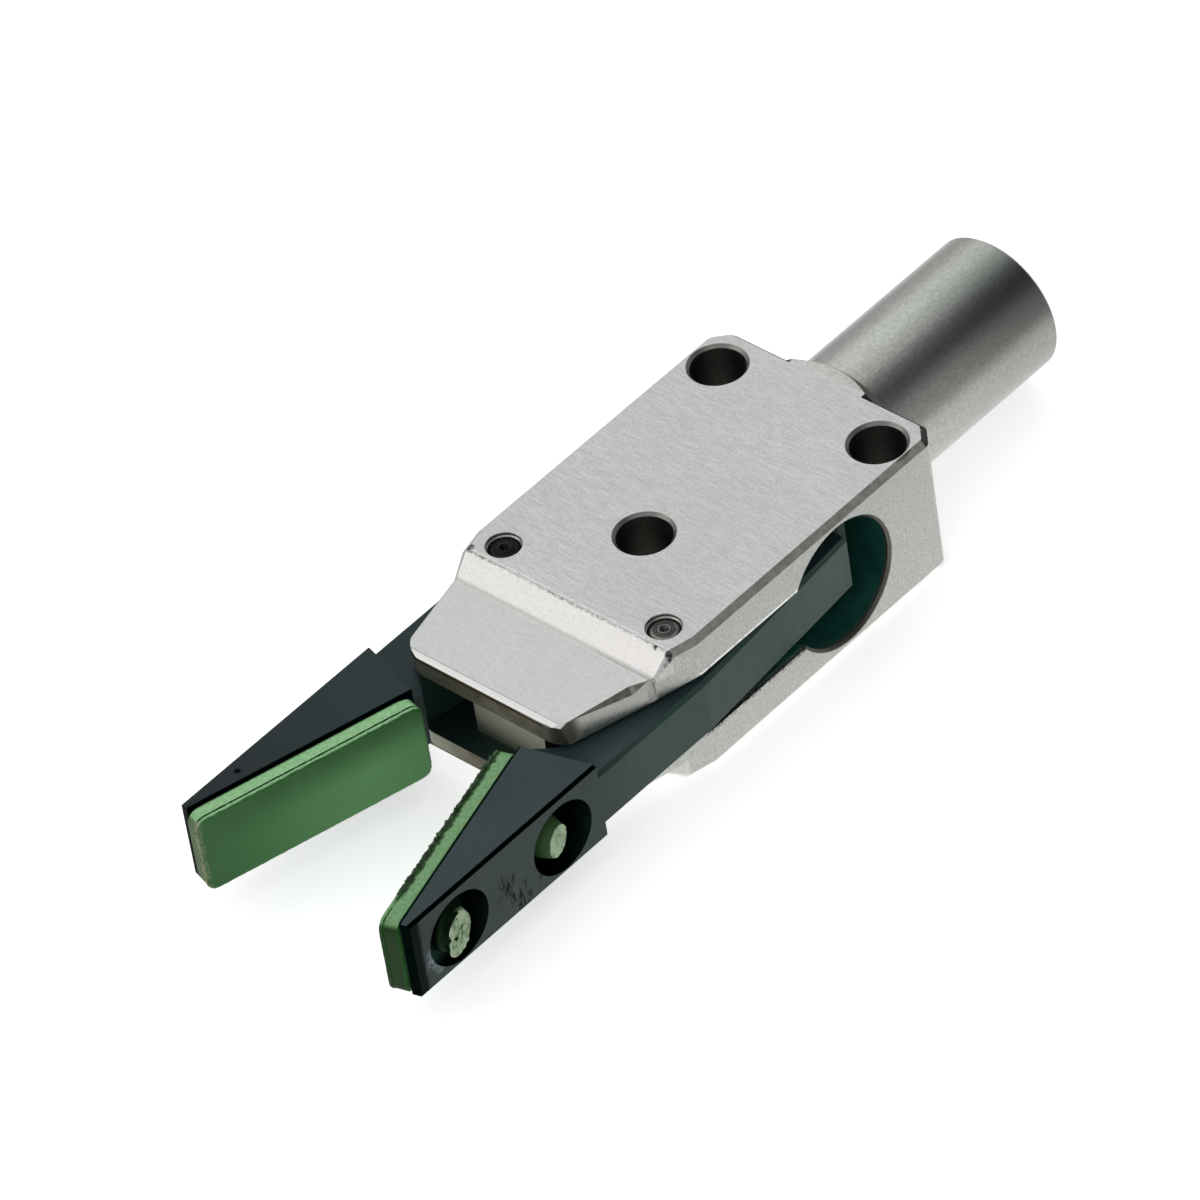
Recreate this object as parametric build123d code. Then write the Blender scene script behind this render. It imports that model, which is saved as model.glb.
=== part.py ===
from build123d import *
from math import asin, atan2, cos, degrees, radians, sin, sqrt
import os

# Pneumatic sprue gripper: a one-piece steel housing with a clamping shank, two pivoting jaws with
# rubber pads, and a piston with a wedge that spreads the rear ends of the jaws.
# Origin: on the shank axis where its plain cylinder starts. +X to the jaw tips, +Z up, +Y right jaw.

# How far cutting tools reach past what they cut
over = 1.0

# Shank and cylinder
shank_d = 14.0
shank_len = 20.8
shank_chamfer = 0.35
shoulder_len = 1.5
bore_d = 10.0
bore_floor = 2.0
rod_d = 4.96
rod_clear = 0.04
bush_d = 8.0
bush_len = 5.0

# Housing block, lengths measured from its rear face
block_w = 25.6
block_h = 14.8
nose_x = 46.2
edge_chamfer = 0.57
corner_cut = 1.6
corner_round = 0.9
step_x = 34.95
step_drop = 1.9
step_run = 2.0
step_blend = 1.2
taper_x = 32.3
taper_slope = 0.245
nose_round = 2.9
nose_rim = 0.65
nose_edge_in = (0.25, 0.1)
step_edge_in = 0.5
dress_from = -0.15
dress_full = 1.75
dress_in = (0.35, 1.0, 0.85)
dress_front = 0.6
dress_fade = 4.5
dress_round = 1.6
dress_deep = 1.5
flank_in = (0.42, 0.92)
flank_lean = 0.2
slot_h = 6.7
pocket_x = 14.2
pocket_wall = 1.15
pocket_chamfer = 0.3
window_x = 20.8

# Holes of the housing
hole_x = 4.3
hole_edge = 3.5
hole_d = 5.13
centre_x = 24.7
hole_chamfer = 0.3
pin_mouth_d = 3.26
pin_mouth = 0.3
pin_mouth_chamfer = 0.06

# Web between the jaws: places along the block, and how far its sides stand in from the pivots
web_front = (43.8, 5.15)
web_waist = (38.7, 4.7)
web_pivot = (3.0, 4.0)
web_pivot_in = 3.9
web_rear = (24.7, 4.7)
web_end_in = 5.2
web_clear = 0.4

# Jaw pivots
pivot_x = 32.7
pin_d = 3.0
pin_recess = 0.2
pin_crown = 0.35
pin_dimple_d = 0.9
pin_clear = 0.03
fixed_clear = 0.01

# Jaws, places measured from the pivot
arm_h = 5.8
arm_rear = (-20.85, 2.2)
arm_inner = ((-2.0, 0.1), (0.0, 0.0), (6.0, 0.8), (12.4, 1.2))
arm_front = (13.5, 0.15)
arm_lap = 16.0
outer_y = 4.02
arm_edge = 0.35
head_start = 14.5
head_end = 37.3
head_h = 8.3
head_tip_t = 0.978
head_edge = 0.3
head_low_edge = 0.12
cam_centre = (-16.3, -3.4)
cam_r = 2.0
cam_gap = 0.3
eye_wall = 1.9

# Pads
pad_t = 2.0
pad_h = 8.15
pad_z = -0.12
pad_start = 14.8
pad_end = 37.65
pad_round = 1.1
pad_edge = 0.25
pad_gap = 0.3
stud_places = (19.4, 32.1)
stud_z = -0.35
stud_neck_d = 3.6
stud_head_d = 4.7
stud_shaft_d = 4.0
stud_tip_d = 3.0
stud_recess_d = 7.0
stud_wall = 1.15
stud_rear_len = 4.6
stud_front_len = 1.5
stud_root = 0.5
stud_head_t = (0.35, 0.8)
stud_tip_at = 0.72
stud_tip_cone = (2.0, 0.43)

# Air side
ring_from_end = 0.9
ring_t = 0.8
ring_groove = 0.45
ring_land = 1.1
plug_len = 5.2
port_d = 4.2
seal_d = 1.3
seal_slack = 0.02
seal_groove_w = 1.8
plug_seal_at = 2.6
piston_gap = 0.4
piston_len = 7.6
piston_d = 9.9
guide_at = 0.4
guide_w = 1.6
guide_t = 0.45
guide_clear = 0.02
piston_seal_at = 2.8
nut_af = 5.5
nut_t = 1.8
nut_pocket_d = 6.8
tail_d = 3.0
rod_seat = 2.0
stroke = 4.5
tail_gap = 0.4
nut_gap = 0.6
end_chamfer = 0.3
fine_chamfer = 0.2
guide_slack = 0.05
guide_split = 0.5
ear_w = 4.2
ear_h = 2.0
ear_gap = 1.4
ear_hole_r = 0.4
spring_gap = 0.1

# Wedge
wedge_rear = 9.3
wedge_len = 6.0
wedge_inset = 0.4
wedge_h = 5.8
spigot_d = 3.5
spigot_len = 4.6
wedge_pin_d = 1.5
wedge_pin_at = 2.4

# Springs
spring_wire = 0.8
spring_coils = 4.5
spring_clear = 0.25
opener_x = 39.5
opener_d = 3.8
opener_wire = 0.5
opener_coils = 14
opener_hole = 4.6
opener_seat = 1.6

os.makedirs("parts", exist_ok=True)

rear = shoulder_len
half_h = block_h / 2
half_slot = slot_h / 2
hole_pitch = block_w - 2 * hole_edge
pivot_y = hole_pitch / 2
pocket_d = block_h - 2 * pocket_wall
seat_from_pivot = pivot_y - pad_t - pad_gap / 2
tip_from_pivot = seat_from_pivot - head_tip_t

# The open jaws' outer faces are parallel to the shank, which gives the opening angle
open_angle = degrees(atan2(tip_from_pivot, head_end) + asin(outer_y / sqrt(head_end ** 2 + tip_from_pivot ** 2)))
reach = 2 * (shank_len + nose_x)


def save(part, node):
    """Write one piece to its own file."""
    solid = part.solid()
    solid.label = node
    export_step(solid, f"parts/{node}.step")


def along_x(r, x0, x1):
    """A round bar on the shank axis from x0 to x1."""
    return Pos((x0 + x1) / 2, 0, 0) * Rot(0, 90, 0) * Cylinder(r, x1 - x0)


def turned(points):
    """A turned piece from an outline of (x, radius) points, closed on the axis."""
    outline = Polyline(*[(x, r) for x, r in points], close=True)
    return revolve(make_face(outline), Axis.X)


def upright(x, y, r, z0, z1):
    """A round bar parallel to Z."""
    return Pos(x, y, (z0 + z1) / 2) * Cylinder(r, z1 - z0)


def mirrored(part):
    """The same piece on the other side of the XZ plane."""
    return mirror(part, about=Plane.XZ)


def opened(u, v):
    """A point given with the pad parallel to X, turned to the open pose."""
    a = radians(open_angle)
    return (u * cos(a) - v * sin(a), u * sin(a) + v * cos(a))


def closed(x, y, share=1.0):
    """A point of the open jaw after it has closed by a share of its travel."""
    a = radians(open_angle * share)
    return (x * cos(a) + y * sin(a), -x * sin(a) + y * cos(a))


def taper_y(x):
    """Half width of the housing where its sides taper towards the nose."""
    return block_w / 2 - taper_slope * (x - taper_x)


def block_outline():
    """Plan of the housing block: cut rear corners, tapered nose, rounded front corners."""
    w = block_w / 2
    right = [
        (rear, w - corner_cut),
        (rear + corner_cut, w),
        (rear + taper_x, w),
        (rear + nose_x, taper_y(nose_x)),
    ]
    left = [(x, -y) for x, y in reversed(right)]
    plan = make_face(Polyline(*right, *left, close=True))
    front = plan.vertices().group_by(Axis.X)[-1]
    plan = fillet(front, nose_round)
    back = plan.vertices().group_by(Axis.X)[0] + plan.vertices().group_by(Axis.X)[1]
    return fillet(back, corner_round)


def block_side():
    """Side view of the block: both faces step down towards the nose, whose front edges are rounded."""
    top = [
        (rear - over, half_h),
        (rear + step_x, half_h),
        (rear + step_x + step_run, half_h - step_drop),
        (rear + nose_x, half_h - step_drop),
    ]
    low = [(x, -z) for x, z in reversed(top)]
    face = make_face(Polyline(*top, *low, close=True))
    foot = [v for v in face.vertices() if abs(v.X - (rear + step_x + step_run)) < 0.01]
    face = fillet(foot, step_blend)
    front = [v for v in face.vertices() if abs(v.X - (rear + nose_x)) < 0.01]
    return fillet(front, nose_rim)


def web_outline():
    """Plan of the web that keeps the two plates of the housing together."""
    right = [
        (rear + window_x, pivot_y - web_end_in),
        (rear + web_rear[0], pivot_y - web_rear[1]),
        (rear + pivot_x - web_pivot[0], pivot_y - web_pivot[1]),
        (rear + pivot_x, pivot_y - web_pivot_in),
        (rear + web_waist[0], pivot_y - web_waist[1]),
        (rear + web_front[0], pivot_y - web_front[1]),
    ]
    left = [(x, -y) for x, y in reversed(right)]
    return make_face(Polyline(*right, *left, close=True))


def housing():
    """Block and shank in one piece, with slots, pocket, cylinder bore and holes."""
    plan = extrude(block_outline(), half_h, both=True)
    side = extrude(Plane.XZ * block_side(), block_w, both=True)
    body = plan & side

    # Every top and bottom edge of the block has the same chamfer
    w = block_w / 2
    rim = [
        e for e in body.edges()
        if abs(abs(e.center().Z) - half_h) < 0.01 and e.center().X < rear + step_x - 0.5
    ]
    body = chamfer(rim, edge_chamfer)

    # The ends of the steps and the long edges of the nose are broken, the upper right one widely
    for tool in nose_edge_cuts():
        body -= tool
    body -= dressed_edge()

    # Slots for the arms on both sides of the web, open to the front
    slot = Pos(rear + pocket_x + reach / 2, 0, 0) * Box(reach, reach, slot_h)
    slot -= extrude(web_outline(), half_slot, both=True)
    pocket = Pos(rear + pocket_x, 0, 0) * Rot(90, 0, 0) * Cylinder(pocket_d / 2, reach)
    body -= slot
    body -= pocket
    rims = [
        e for e in body.edges()
        if e.geom_type == GeomType.CIRCLE
        and abs(abs(e.center().Y) - w) < 0.01
        and abs(e.radius - pocket_d / 2) < 0.01
    ]
    body = chamfer(rims, pocket_chamfer)

    # Shank with its conical shoulder
    r = shank_d / 2
    shank = turned([
        (-shank_len, 0),
        (-shank_len, r - shank_chamfer),
        (-shank_len + shank_chamfer, r),
        (0, r),
        (shoulder_len, r + shoulder_len),
        (rear + over, r + shoulder_len),
        (rear + over, 0),
    ])
    flat = Box(reach, reach, block_h)
    body += shank & flat

    # Cylinder bore from the rear, with the groove of the retaining ring
    ring_x = -shank_len + ring_from_end
    body -= along_x(bore_d / 2, -shank_len - over, rear + bore_floor)
    body -= along_x(bore_d / 2 + ring_groove, ring_x, ring_x + ring_t)
    body -= along_x(bush_d / 2, rear, rear + bore_floor + bush_len)
    body -= along_x(rod_d / 2 + 5 * rod_clear, rear, rear + pocket_x)

    # Through holes, each with a small chamfer at both faces
    places = [(hole_x, hole_pitch / 2), (hole_x, -hole_pitch / 2), (centre_x, 0)]
    for x, y in places:
        body -= through_hole(x, y, hole_d)
    for side_y in (pivot_y, -pivot_y):
        body -= pin_hole(side_y)

    # Cross hole of the opening spring in the web
    body -= Pos(rear + opener_x, 0, 0) * Rot(90, 0, 0) * Cylinder(opener_hole / 2, block_w)
    return body


def through_hole(x, y, d):
    """A hole right through the block with a chamfer at each face."""
    r = d / 2
    z = half_h + over
    flare = r + hole_chamfer + over
    outline = Polyline(
        (0, z), (flare, z), (r, half_h - hole_chamfer), (r, -half_h + hole_chamfer), (flare, -z), (0, -z),
        close=True,
    )
    tool = revolve(make_face(Plane.XZ * outline), Axis.Z)
    return Pos(rear + x, y, 0) * tool


def pin_hole(y):
    """A hole for a pivot pin, with a slightly wider mouth at each face."""
    r = pin_d / 2 + fixed_clear
    mouth = pin_mouth_d / 2
    z = half_h + over
    flare = mouth + pin_mouth_chamfer + over
    low = half_h - pin_mouth_chamfer
    floor = half_h - pin_mouth
    upper = [(0, z), (flare, z), (mouth, low), (mouth, floor), (r, floor - mouth + r)]
    lower = [(px, -pz) for px, pz in reversed(upper)]
    tool = revolve(make_face(Plane.XZ * Polyline(*upper, *lower, close=True)), Axis.Z)
    return Pos(rear + pivot_x, y, 0) * tool


def cut_plane(a, b, c, x0, x1):
    """A tool that removes all that lies outside the plane through three points, from x0 to x1."""
    pa, pb, pc = Vector(*a), Vector(*b), Vector(*c)
    normal = (pb - pa).cross(pc - pa).normalized()
    if normal.Y < 0:
        normal = normal * -1
    side = Plane(origin=pa, x_dir=(pb - pa).normalized(), z_dir=normal)
    tool = side * Pos(0, 0, block_h / 2) * Box(reach, reach, block_h)
    return tool & (Pos((x0 + x1) / 2, 0, 0) * Box(x1 - x0, reach, reach))


def bevel(x0, x1, z0, z1, in0, in1, lean=1.0):
    """A cut along the right side's upper edge, which runs from x0, z0 to x1, z1 and stands in from it."""
    start = (rear + x0, taper_y(x0) - in0, z0)
    end = (rear + x1, taper_y(x1) - in1, z1)
    low = (rear + x1, taper_y(x1) - in1 + lean, z1 - 1)
    return cut_plane(start, end, low, rear + x0, rear + x1)


def nose_edge_cuts():
    """Small bevels on both sides, above and below: at the ends of the steps and along the nose."""
    top = half_h - step_drop
    foot = step_x + step_run
    upper = [
        bevel(step_x, foot, half_h, top, step_edge_in, nose_edge_in[0]),
        bevel(foot, nose_x, top, top, *nose_edge_in),
    ]
    tools = []
    for tool in upper:
        low = mirror(tool, about=Plane.XY)
        tools += [tool, low, mirror(tool, about=Plane.XZ), mirror(low, about=Plane.XZ)]
    return tools + [bevel(foot, nose_x, top, top, *flank_in, flank_lean)]


def dressed_edge():
    """Tool for the nose's upper right edge: a bevel that widens at the step and runs round the corner."""
    top = half_h - step_drop
    foot = step_x + step_run
    x0, x1 = foot + dress_from, foot + dress_full
    corner_x = nose_x - dress_front
    start = (rear + x0, taper_y(x0) - dress_in[0])
    corner = (rear + corner_x, taper_y(corner_x) - dress_in[2])
    fade = (rear + nose_x + over, dress_fade)
    points = [
        start, (rear + x1, taper_y(x1) - dress_in[1]), corner, fade,
        (fade[0], -block_w), (start[0], -block_w),
    ]
    kept = make_face(Polyline(*points, close=True))
    kept = fillet([v for v in kept.vertices() if abs(v.X - corner[0]) < 0.01], dress_round)
    wide = offset(kept, dress_deep, kind=Kind.INTERSECTION)
    inner = loft([Pos(0, 0, top) * kept, Pos(0, 0, top - dress_deep) * wide], ruled=True)
    depth = dress_deep + over
    zone = Pos(start[0] + reach / 2, dress_fade + reach / 2, top + over - depth / 2) * Box(reach, reach, depth)
    inner += Pos(0, 0, top) * extrude(kept, 2 * over)
    return zone - inner


def outer_v(u):
    """Outer face of the jaw at a place along the pad, with the pad parallel to X."""
    a = radians(open_angle)
    return (outer_y - u * sin(a)) / cos(a)


def pad_plane():
    """Place of the pad's seat, on the side of the other jaw from the pivot."""
    return -seat_from_pivot


def jaw():
    """Right jaw in the open pose: cam end, arm with its eye, and finger head."""
    cx, cy = cam_centre
    normal = wedge_normal()
    contact = (cx + cam_r * normal[0], cy + cam_r * normal[1])
    slope = -normal[0] / normal[1]
    ramp_end = contact[1] + (arm_rear[0] - contact[0]) * slope
    low = (cx, cy - cam_r)
    mid_angle = atan2(normal[1] - 1, normal[0])
    mid = (cx + cam_r * cos(mid_angle), cy + cam_r * sin(mid_angle))
    eye_v = -(pin_d / 2 + eye_wall)
    seat = pad_plane()
    arm = Polyline(
        low,
        (web_rear[0] - pivot_x, web_clear - web_rear[1]),
        (arm_inner[0][0], eye_v - arm_inner[0][1]),
        opened(arm_inner[1][0], eye_v - arm_inner[1][1]),
        opened(arm_inner[2][0], eye_v - arm_inner[2][1]),
        opened(arm_inner[3][0], eye_v - arm_inner[3][1]),
        opened(arm_front[0], seat + arm_front[1]),
        opened(arm_lap, seat + arm_front[1]),
        (arm_lap, outer_y),
        (0.0, outer_y),
        arm_rear,
        (arm_rear[0], ramp_end),
        contact,
    )
    nose = ThreePointArc(contact, mid, low)
    body = extrude(make_face(arm + nose), arm_h / 2, both=True)
    head = Polyline(
        opened(head_start, seat),
        opened(head_end, seat),
        opened(head_end, outer_v(head_end)),
        opened(head_start, outer_v(head_start)),
        close=True,
    )
    body += extrude(make_face(head), head_h / 2, both=True)

    # Outer long edges of head and arm are broken, the lower one of the head only slightly
    arm_top, head_top = arm_h / 2, head_h / 2
    outer = [
        e for e in body.edges()
        if abs(e.center().Y - outer_y) < 0.01 and abs(abs(e.center().Z) - arm_top) < 0.01
    ]
    body = chamfer(outer, arm_edge)
    for z, size in ((head_top, head_edge), (-head_top, head_low_edge)):
        long_edge = [
            e for e in body.edges()
            if abs(e.center().Y - outer_y) < 0.01 and abs(e.center().Z - z) < 0.01
        ]
        body = chamfer(long_edge, size)

    # Pivot eye, stud holes with their recesses, and the seat of the opening spring
    body -= Cylinder(pin_d / 2 + pin_clear, block_h)
    for u in stud_places:
        hole = Pos(*opened(u, 0), stud_z) * Rot(0, 0, open_angle) * Rot(90, 0, 0)
        body -= hole * Cylinder(stud_neck_d / 2, reach)
        at = opened(u, seat + stud_wall + reach / 2)
        body -= Pos(*at, stud_z) * Rot(0, 0, open_angle) * Rot(90, 0, 0) * Cylinder(stud_recess_d / 2, reach)
    seat_y = opener_reach() - pivot_y
    body -= Pos(opener_x - pivot_x, seat_y - reach / 2, 0) * Rot(90, 0, 0) * Cylinder(opener_hole / 2, reach)
    return Pos(rear + pivot_x, pivot_y, 0) * body


def opener_reach():
    """Half the length of the opening spring in the open pose."""
    eye_v = -(pin_d / 2 + eye_wall)
    face = opened(arm_inner[2][0], eye_v - arm_inner[2][1])
    return pivot_y + face[1] + opener_seat


def wedge_normal():
    """Direction from the cam's centre to the wedge face it runs on, at right angles to its path."""
    start = cam_centre
    end = closed(*cam_centre)
    dx = end[0] - stroke - start[0]
    dy = end[1] - start[1]
    size = sqrt(dx * dx + dy * dy)
    return (-dy / size, dx / size)


def wedge_face_points():
    """Three points of the wedge's working face: start, middle and end of the stroke."""
    n = wedge_normal()
    reach = cam_r + cam_gap
    points = []
    for share in (0.0, 0.5, 1.0):
        x, y = closed(*cam_centre, share)
        points.append((rear + pivot_x + x - stroke * share + reach * n[0], pivot_y + y + reach * n[1]))
    return points


def wedge():
    """Wedge with two concave faces that push the cams of the jaws apart."""
    front, middle, back = wedge_face_points()
    x0 = rear + wedge_rear
    x1 = x0 + wedge_len
    end_y = front[1] - (x1 - front[0])
    face_right = ThreePointArc(back, middle, front)
    rest = Polyline(
        front, (x1, end_y), (x1, -end_y), (front[0], -front[1]),
    )
    face_left = ThreePointArc((front[0], -front[1]), (middle[0], -middle[1]), (back[0], -back[1]))
    half_w = pivot_y - wedge_inset
    tail = Polyline((back[0], -back[1]), (x0, -half_w), (x0, half_w), back)
    body = extrude(make_face(face_right + rest + face_left + tail), wedge_h / 2, both=True)
    body -= along_x(spigot_d / 2 + fixed_clear, x0 - over, x0 + spigot_len + end_chamfer)
    body -= upright(x0 + wedge_pin_at, 0, wedge_pin_d / 2 + fixed_clear, -half_h, half_h)
    return body


def pad():
    """Right pad in the open pose: rubber plate with two studs that button into the finger."""
    seat = pad_plane()
    mid_u = (pad_start + pad_end) / 2
    plate = Box(pad_end - pad_start, pad_t, pad_h)
    corners = plate.edges().filter_by(Axis.Y)
    plate = fillet(corners, pad_round)
    front = plate.faces().sort_by(Axis.Y)[0].edges()
    plate = fillet(front, pad_edge)
    body = Pos(mid_u, seat - pad_t / 2, pad_z) * plate
    for u, length in zip(stud_places, (stud_rear_len, stud_front_len)):
        r = stud_neck_d / 2 - fixed_clear
        big = stud_head_d / 2
        shaft = stud_shaft_d / 2
        floor = stud_wall + fixed_clear
        tip = min(stud_tip_d / 2 + stud_tip_cone[0] / length - stud_tip_cone[1], shaft)
        stud = Polyline(
            (0, -stud_root), (r, -stud_root), (r, floor), (big, floor), (big, floor + stud_head_t[0]),
            (shaft, floor + stud_head_t[1]), (shaft, stud_wall + length * stud_tip_at),
            (tip, stud_wall + length), (0, stud_wall + length),
            close=True,
        )
        tool = Rot(-90, 0, 0) * revolve(make_face(Plane.XZ * stud), Axis.Z)
        body += Pos(u, seat, stud_z) * tool
    return Pos(rear + pivot_x, pivot_y, 0) * Rot(0, 0, open_angle) * body


def pivot_pin(y):
    """Dowel with crowned ends and a centre dimple in each."""
    r = pin_d / 2
    h = block_h / 2 - pin_recess
    crown_r = (r * r + pin_crown * pin_crown) / (2 * pin_crown)
    places = (pin_dimple_d / 2, (pin_dimple_d / 2 + r) / 2, r)
    crown = [(x, h - crown_r + sqrt(crown_r * crown_r - x * x)) for x in places]
    foot = [(x, -z) for x, z in crown]
    tip = crown[0][1] - pin_dimple_d / 2
    outline = ThreePointArc(*crown) + Line(crown[-1], foot[-1]) + ThreePointArc(*reversed(foot))
    outline += Polyline(foot[0], (0, -tip), (0, tip), crown[0])
    return Pos(rear + pivot_x, y, 0) * revolve(make_face(Plane.XZ * outline), Axis.Z)


def ring_seal(x, r_inner, r_outer):
    """O-ring squeezed between two round walls."""
    tube = (r_outer - r_inner) / 2
    mid = (r_outer + r_inner) / 2
    section = Pos(x, mid) * Circle(tube - seal_slack)
    return revolve(section, Axis.X)


def spring_on_x(x0, x1, mean_r, wire, coils):
    """Round-wire compression spring along the shank axis."""
    path = Helix(pitch=(x1 - x0 - wire) / coils, height=x1 - x0 - wire, radius=mean_r)
    start = path @ 0
    section = Plane(origin=start, z_dir=path % 0) * Circle(wire / 2)
    coil = sweep(section, path=path)
    return Pos(x0 + wire / 2, 0, 0) * Rot(0, 90, 0) * coil


plug_rear = -shank_len + ring_from_end + ring_t
plug_front = plug_rear + plug_len
piston_rear = plug_front + piston_gap
piston_front = piston_rear + piston_len
bore_end = rear + bore_floor
seal_inner = bore_d / 2 - seal_d


def end_plug():
    """Plug of the cylinder with the air port and a groove for its seal."""
    groove_x = plug_rear + plug_seal_at
    body = along_x(bore_d / 2 - seal_slack, plug_rear, plug_front)
    body -= along_x(port_d / 2, plug_rear - over, plug_front + over)
    groove = along_x(bore_d, groove_x, groove_x + seal_groove_w)
    body -= groove - along_x(seal_inner, groove_x, groove_x + seal_groove_w)
    return body


def plug_ring():
    """Open retaining ring with two ear holes, in its groove behind the plug."""
    x0 = -shank_len + ring_from_end + fixed_clear
    x1 = x0 + ring_t - 2 * fixed_clear
    outer = bore_d / 2 + ring_groove - seal_slack
    inner = bore_d / 2 - ring_land
    mid = (x0 + x1) / 2
    body = along_x(outer, x0, x1) - along_x(inner, x0 - over, x1 + over)
    ears = Pos(mid, 0, -inner - seal_slack) * Box(x1 - x0, ear_w, ear_h)
    body += ears & along_x(bore_d / 2 - seal_slack, x0, x1)
    body -= Pos(mid, 0, -bore_d / 2) * Box(ring_t + over, ear_gap, ear_h + bore_d / 2 - ring_land)
    for side_y in (-ear_gap, ear_gap):
        body -= Pos(mid, side_y, -inner) * Rot(0, 90, 0) * Cylinder(ear_hole_r, ring_t + over)
    return body


def piston():
    """Piston with a nut pocket behind, a guide ring groove and a seal groove."""
    r = piston_d / 2
    x0, x1 = piston_rear, piston_front
    body = along_x(r, x0, x1)
    body = chamfer(body.edges().filter_by(GeomType.CIRCLE), fine_chamfer)
    g0 = x0 + guide_at
    body -= along_x(r + over, g0, g0 + guide_w) - along_x(r - guide_t, g0, g0 + guide_w)
    s0 = x0 + piston_seal_at
    body -= along_x(r + over, s0, s0 + seal_groove_w) - along_x(seal_inner, s0, s0 + seal_groove_w)
    body -= along_x(nut_pocket_d / 2, x0 - over, x0 + nut_t + nut_gap)
    body -= along_x(tail_d / 2 + fixed_clear, x0, x1)
    body -= along_x(rod_d / 2 + fixed_clear, x1 - rod_seat, x1 + over)
    return body


def piston_rod():
    """Rod with a thin tail through the piston and a spigot in the wedge."""
    tail_end = piston_rear + tail_gap
    shoulder = piston_front - rod_seat
    front = rear + wedge_rear
    spigot_end = front + spigot_len
    body = turned([
        (tail_end, 0),
        (tail_end, tail_d / 2 - end_chamfer),
        (tail_end + end_chamfer, tail_d / 2),
        (shoulder, tail_d / 2),
        (shoulder, rod_d / 2),
        (front, rod_d / 2),
        (front, spigot_d / 2),
        (spigot_end - end_chamfer, spigot_d / 2),
        (spigot_end, spigot_d / 2 - end_chamfer),
        (spigot_end, 0),
    ])
    body -= upright(front + wedge_pin_at, 0, wedge_pin_d / 2 + fixed_clear, -half_h, half_h)
    return body


def piston_nut():
    """Thin hexagon nut on the tail of the rod."""
    x0 = piston_rear + nut_gap
    hexagon = RegularPolygon(nut_af / 2, 6, major_radius=False)
    body = Pos(x0, 0, 0) * Rot(0, 90, 0) * extrude(hexagon, nut_t)
    body -= along_x(tail_d / 2 + fixed_clear, x0 - over, x0 + nut_t + over)
    return body


def rod_bush():
    """Plain guide bush with a chamfered mouth."""
    x0 = bore_end
    outer = bush_d / 2 - fixed_clear
    inner = rod_d / 2 + rod_clear
    return turned([
        (x0, inner + end_chamfer),
        (x0, outer - fine_chamfer),
        (x0 + fine_chamfer, outer),
        (x0 + bush_len, outer),
        (x0 + bush_len, inner),
        (x0 + end_chamfer, inner),
    ])


def guide_ring():
    """Split plastic ring that carries the piston in the bore."""
    x0 = piston_rear + guide_at + guide_slack
    x1 = x0 + guide_w - 2 * guide_slack
    body = along_x(bore_d / 2 - guide_clear, x0, x1)
    body -= along_x(piston_d / 2 - guide_t + fixed_clear, x0 - over, x1 + over)
    body -= Pos((x0 + x1) / 2, 0, bore_d / 2) * Rot(30, 0, 0) * Box(guide_w + over, guide_split, guide_w)
    return body


def wedge_pin():
    """Cross pin that locks the rod in the wedge."""
    x = rear + wedge_rear + wedge_pin_at
    half = wedge_h / 2 - fine_chamfer / 2
    body = upright(x, 0, wedge_pin_d / 2, -half, half)
    return chamfer(body.edges().filter_by(GeomType.CIRCLE), fine_chamfer)


save(housing(), "housing")
right_jaw = jaw()
save(right_jaw, "jaw_right")
save(mirrored(right_jaw), "jaw_left")
right_pad = pad()
save(right_pad, "pad_right")
save(mirrored(right_pad), "pad_left")
save(pivot_pin(pivot_y), "pivot_pin_right")
save(pivot_pin(-pivot_y), "pivot_pin_left")
save(end_plug(), "end_plug")
save(ring_seal(plug_rear + plug_seal_at + seal_groove_w / 2, seal_inner, bore_d / 2), "plug_seal")
save(plug_ring(), "plug_ring")
save(piston(), "piston")
save(ring_seal(piston_rear + piston_seal_at + seal_groove_w / 2, seal_inner, bore_d / 2), "piston_seal")
save(guide_ring(), "guide_ring")
save(piston_rod(), "piston_rod")
save(piston_nut(), "piston_nut")
save(rod_bush(), "rod_bush")
save(wedge(), "wedge")
save(wedge_pin(), "wedge_pin")
spring_r = bore_d / 2 - spring_clear - spring_wire / 2
save(
    spring_on_x(piston_front + spring_gap, bore_end - spring_gap, spring_r, spring_wire, spring_coils),
    "return_spring",
)
opener_half = opener_reach() - spring_gap
opener = spring_on_x(-opener_half, opener_half, (opener_d - opener_wire) / 2, opener_wire, opener_coils)
save(Pos(rear + opener_x, 0, 0) * Rot(0, 0, 90) * opener, "opening_spring")
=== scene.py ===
import math
import random
from types import SimpleNamespace

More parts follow.
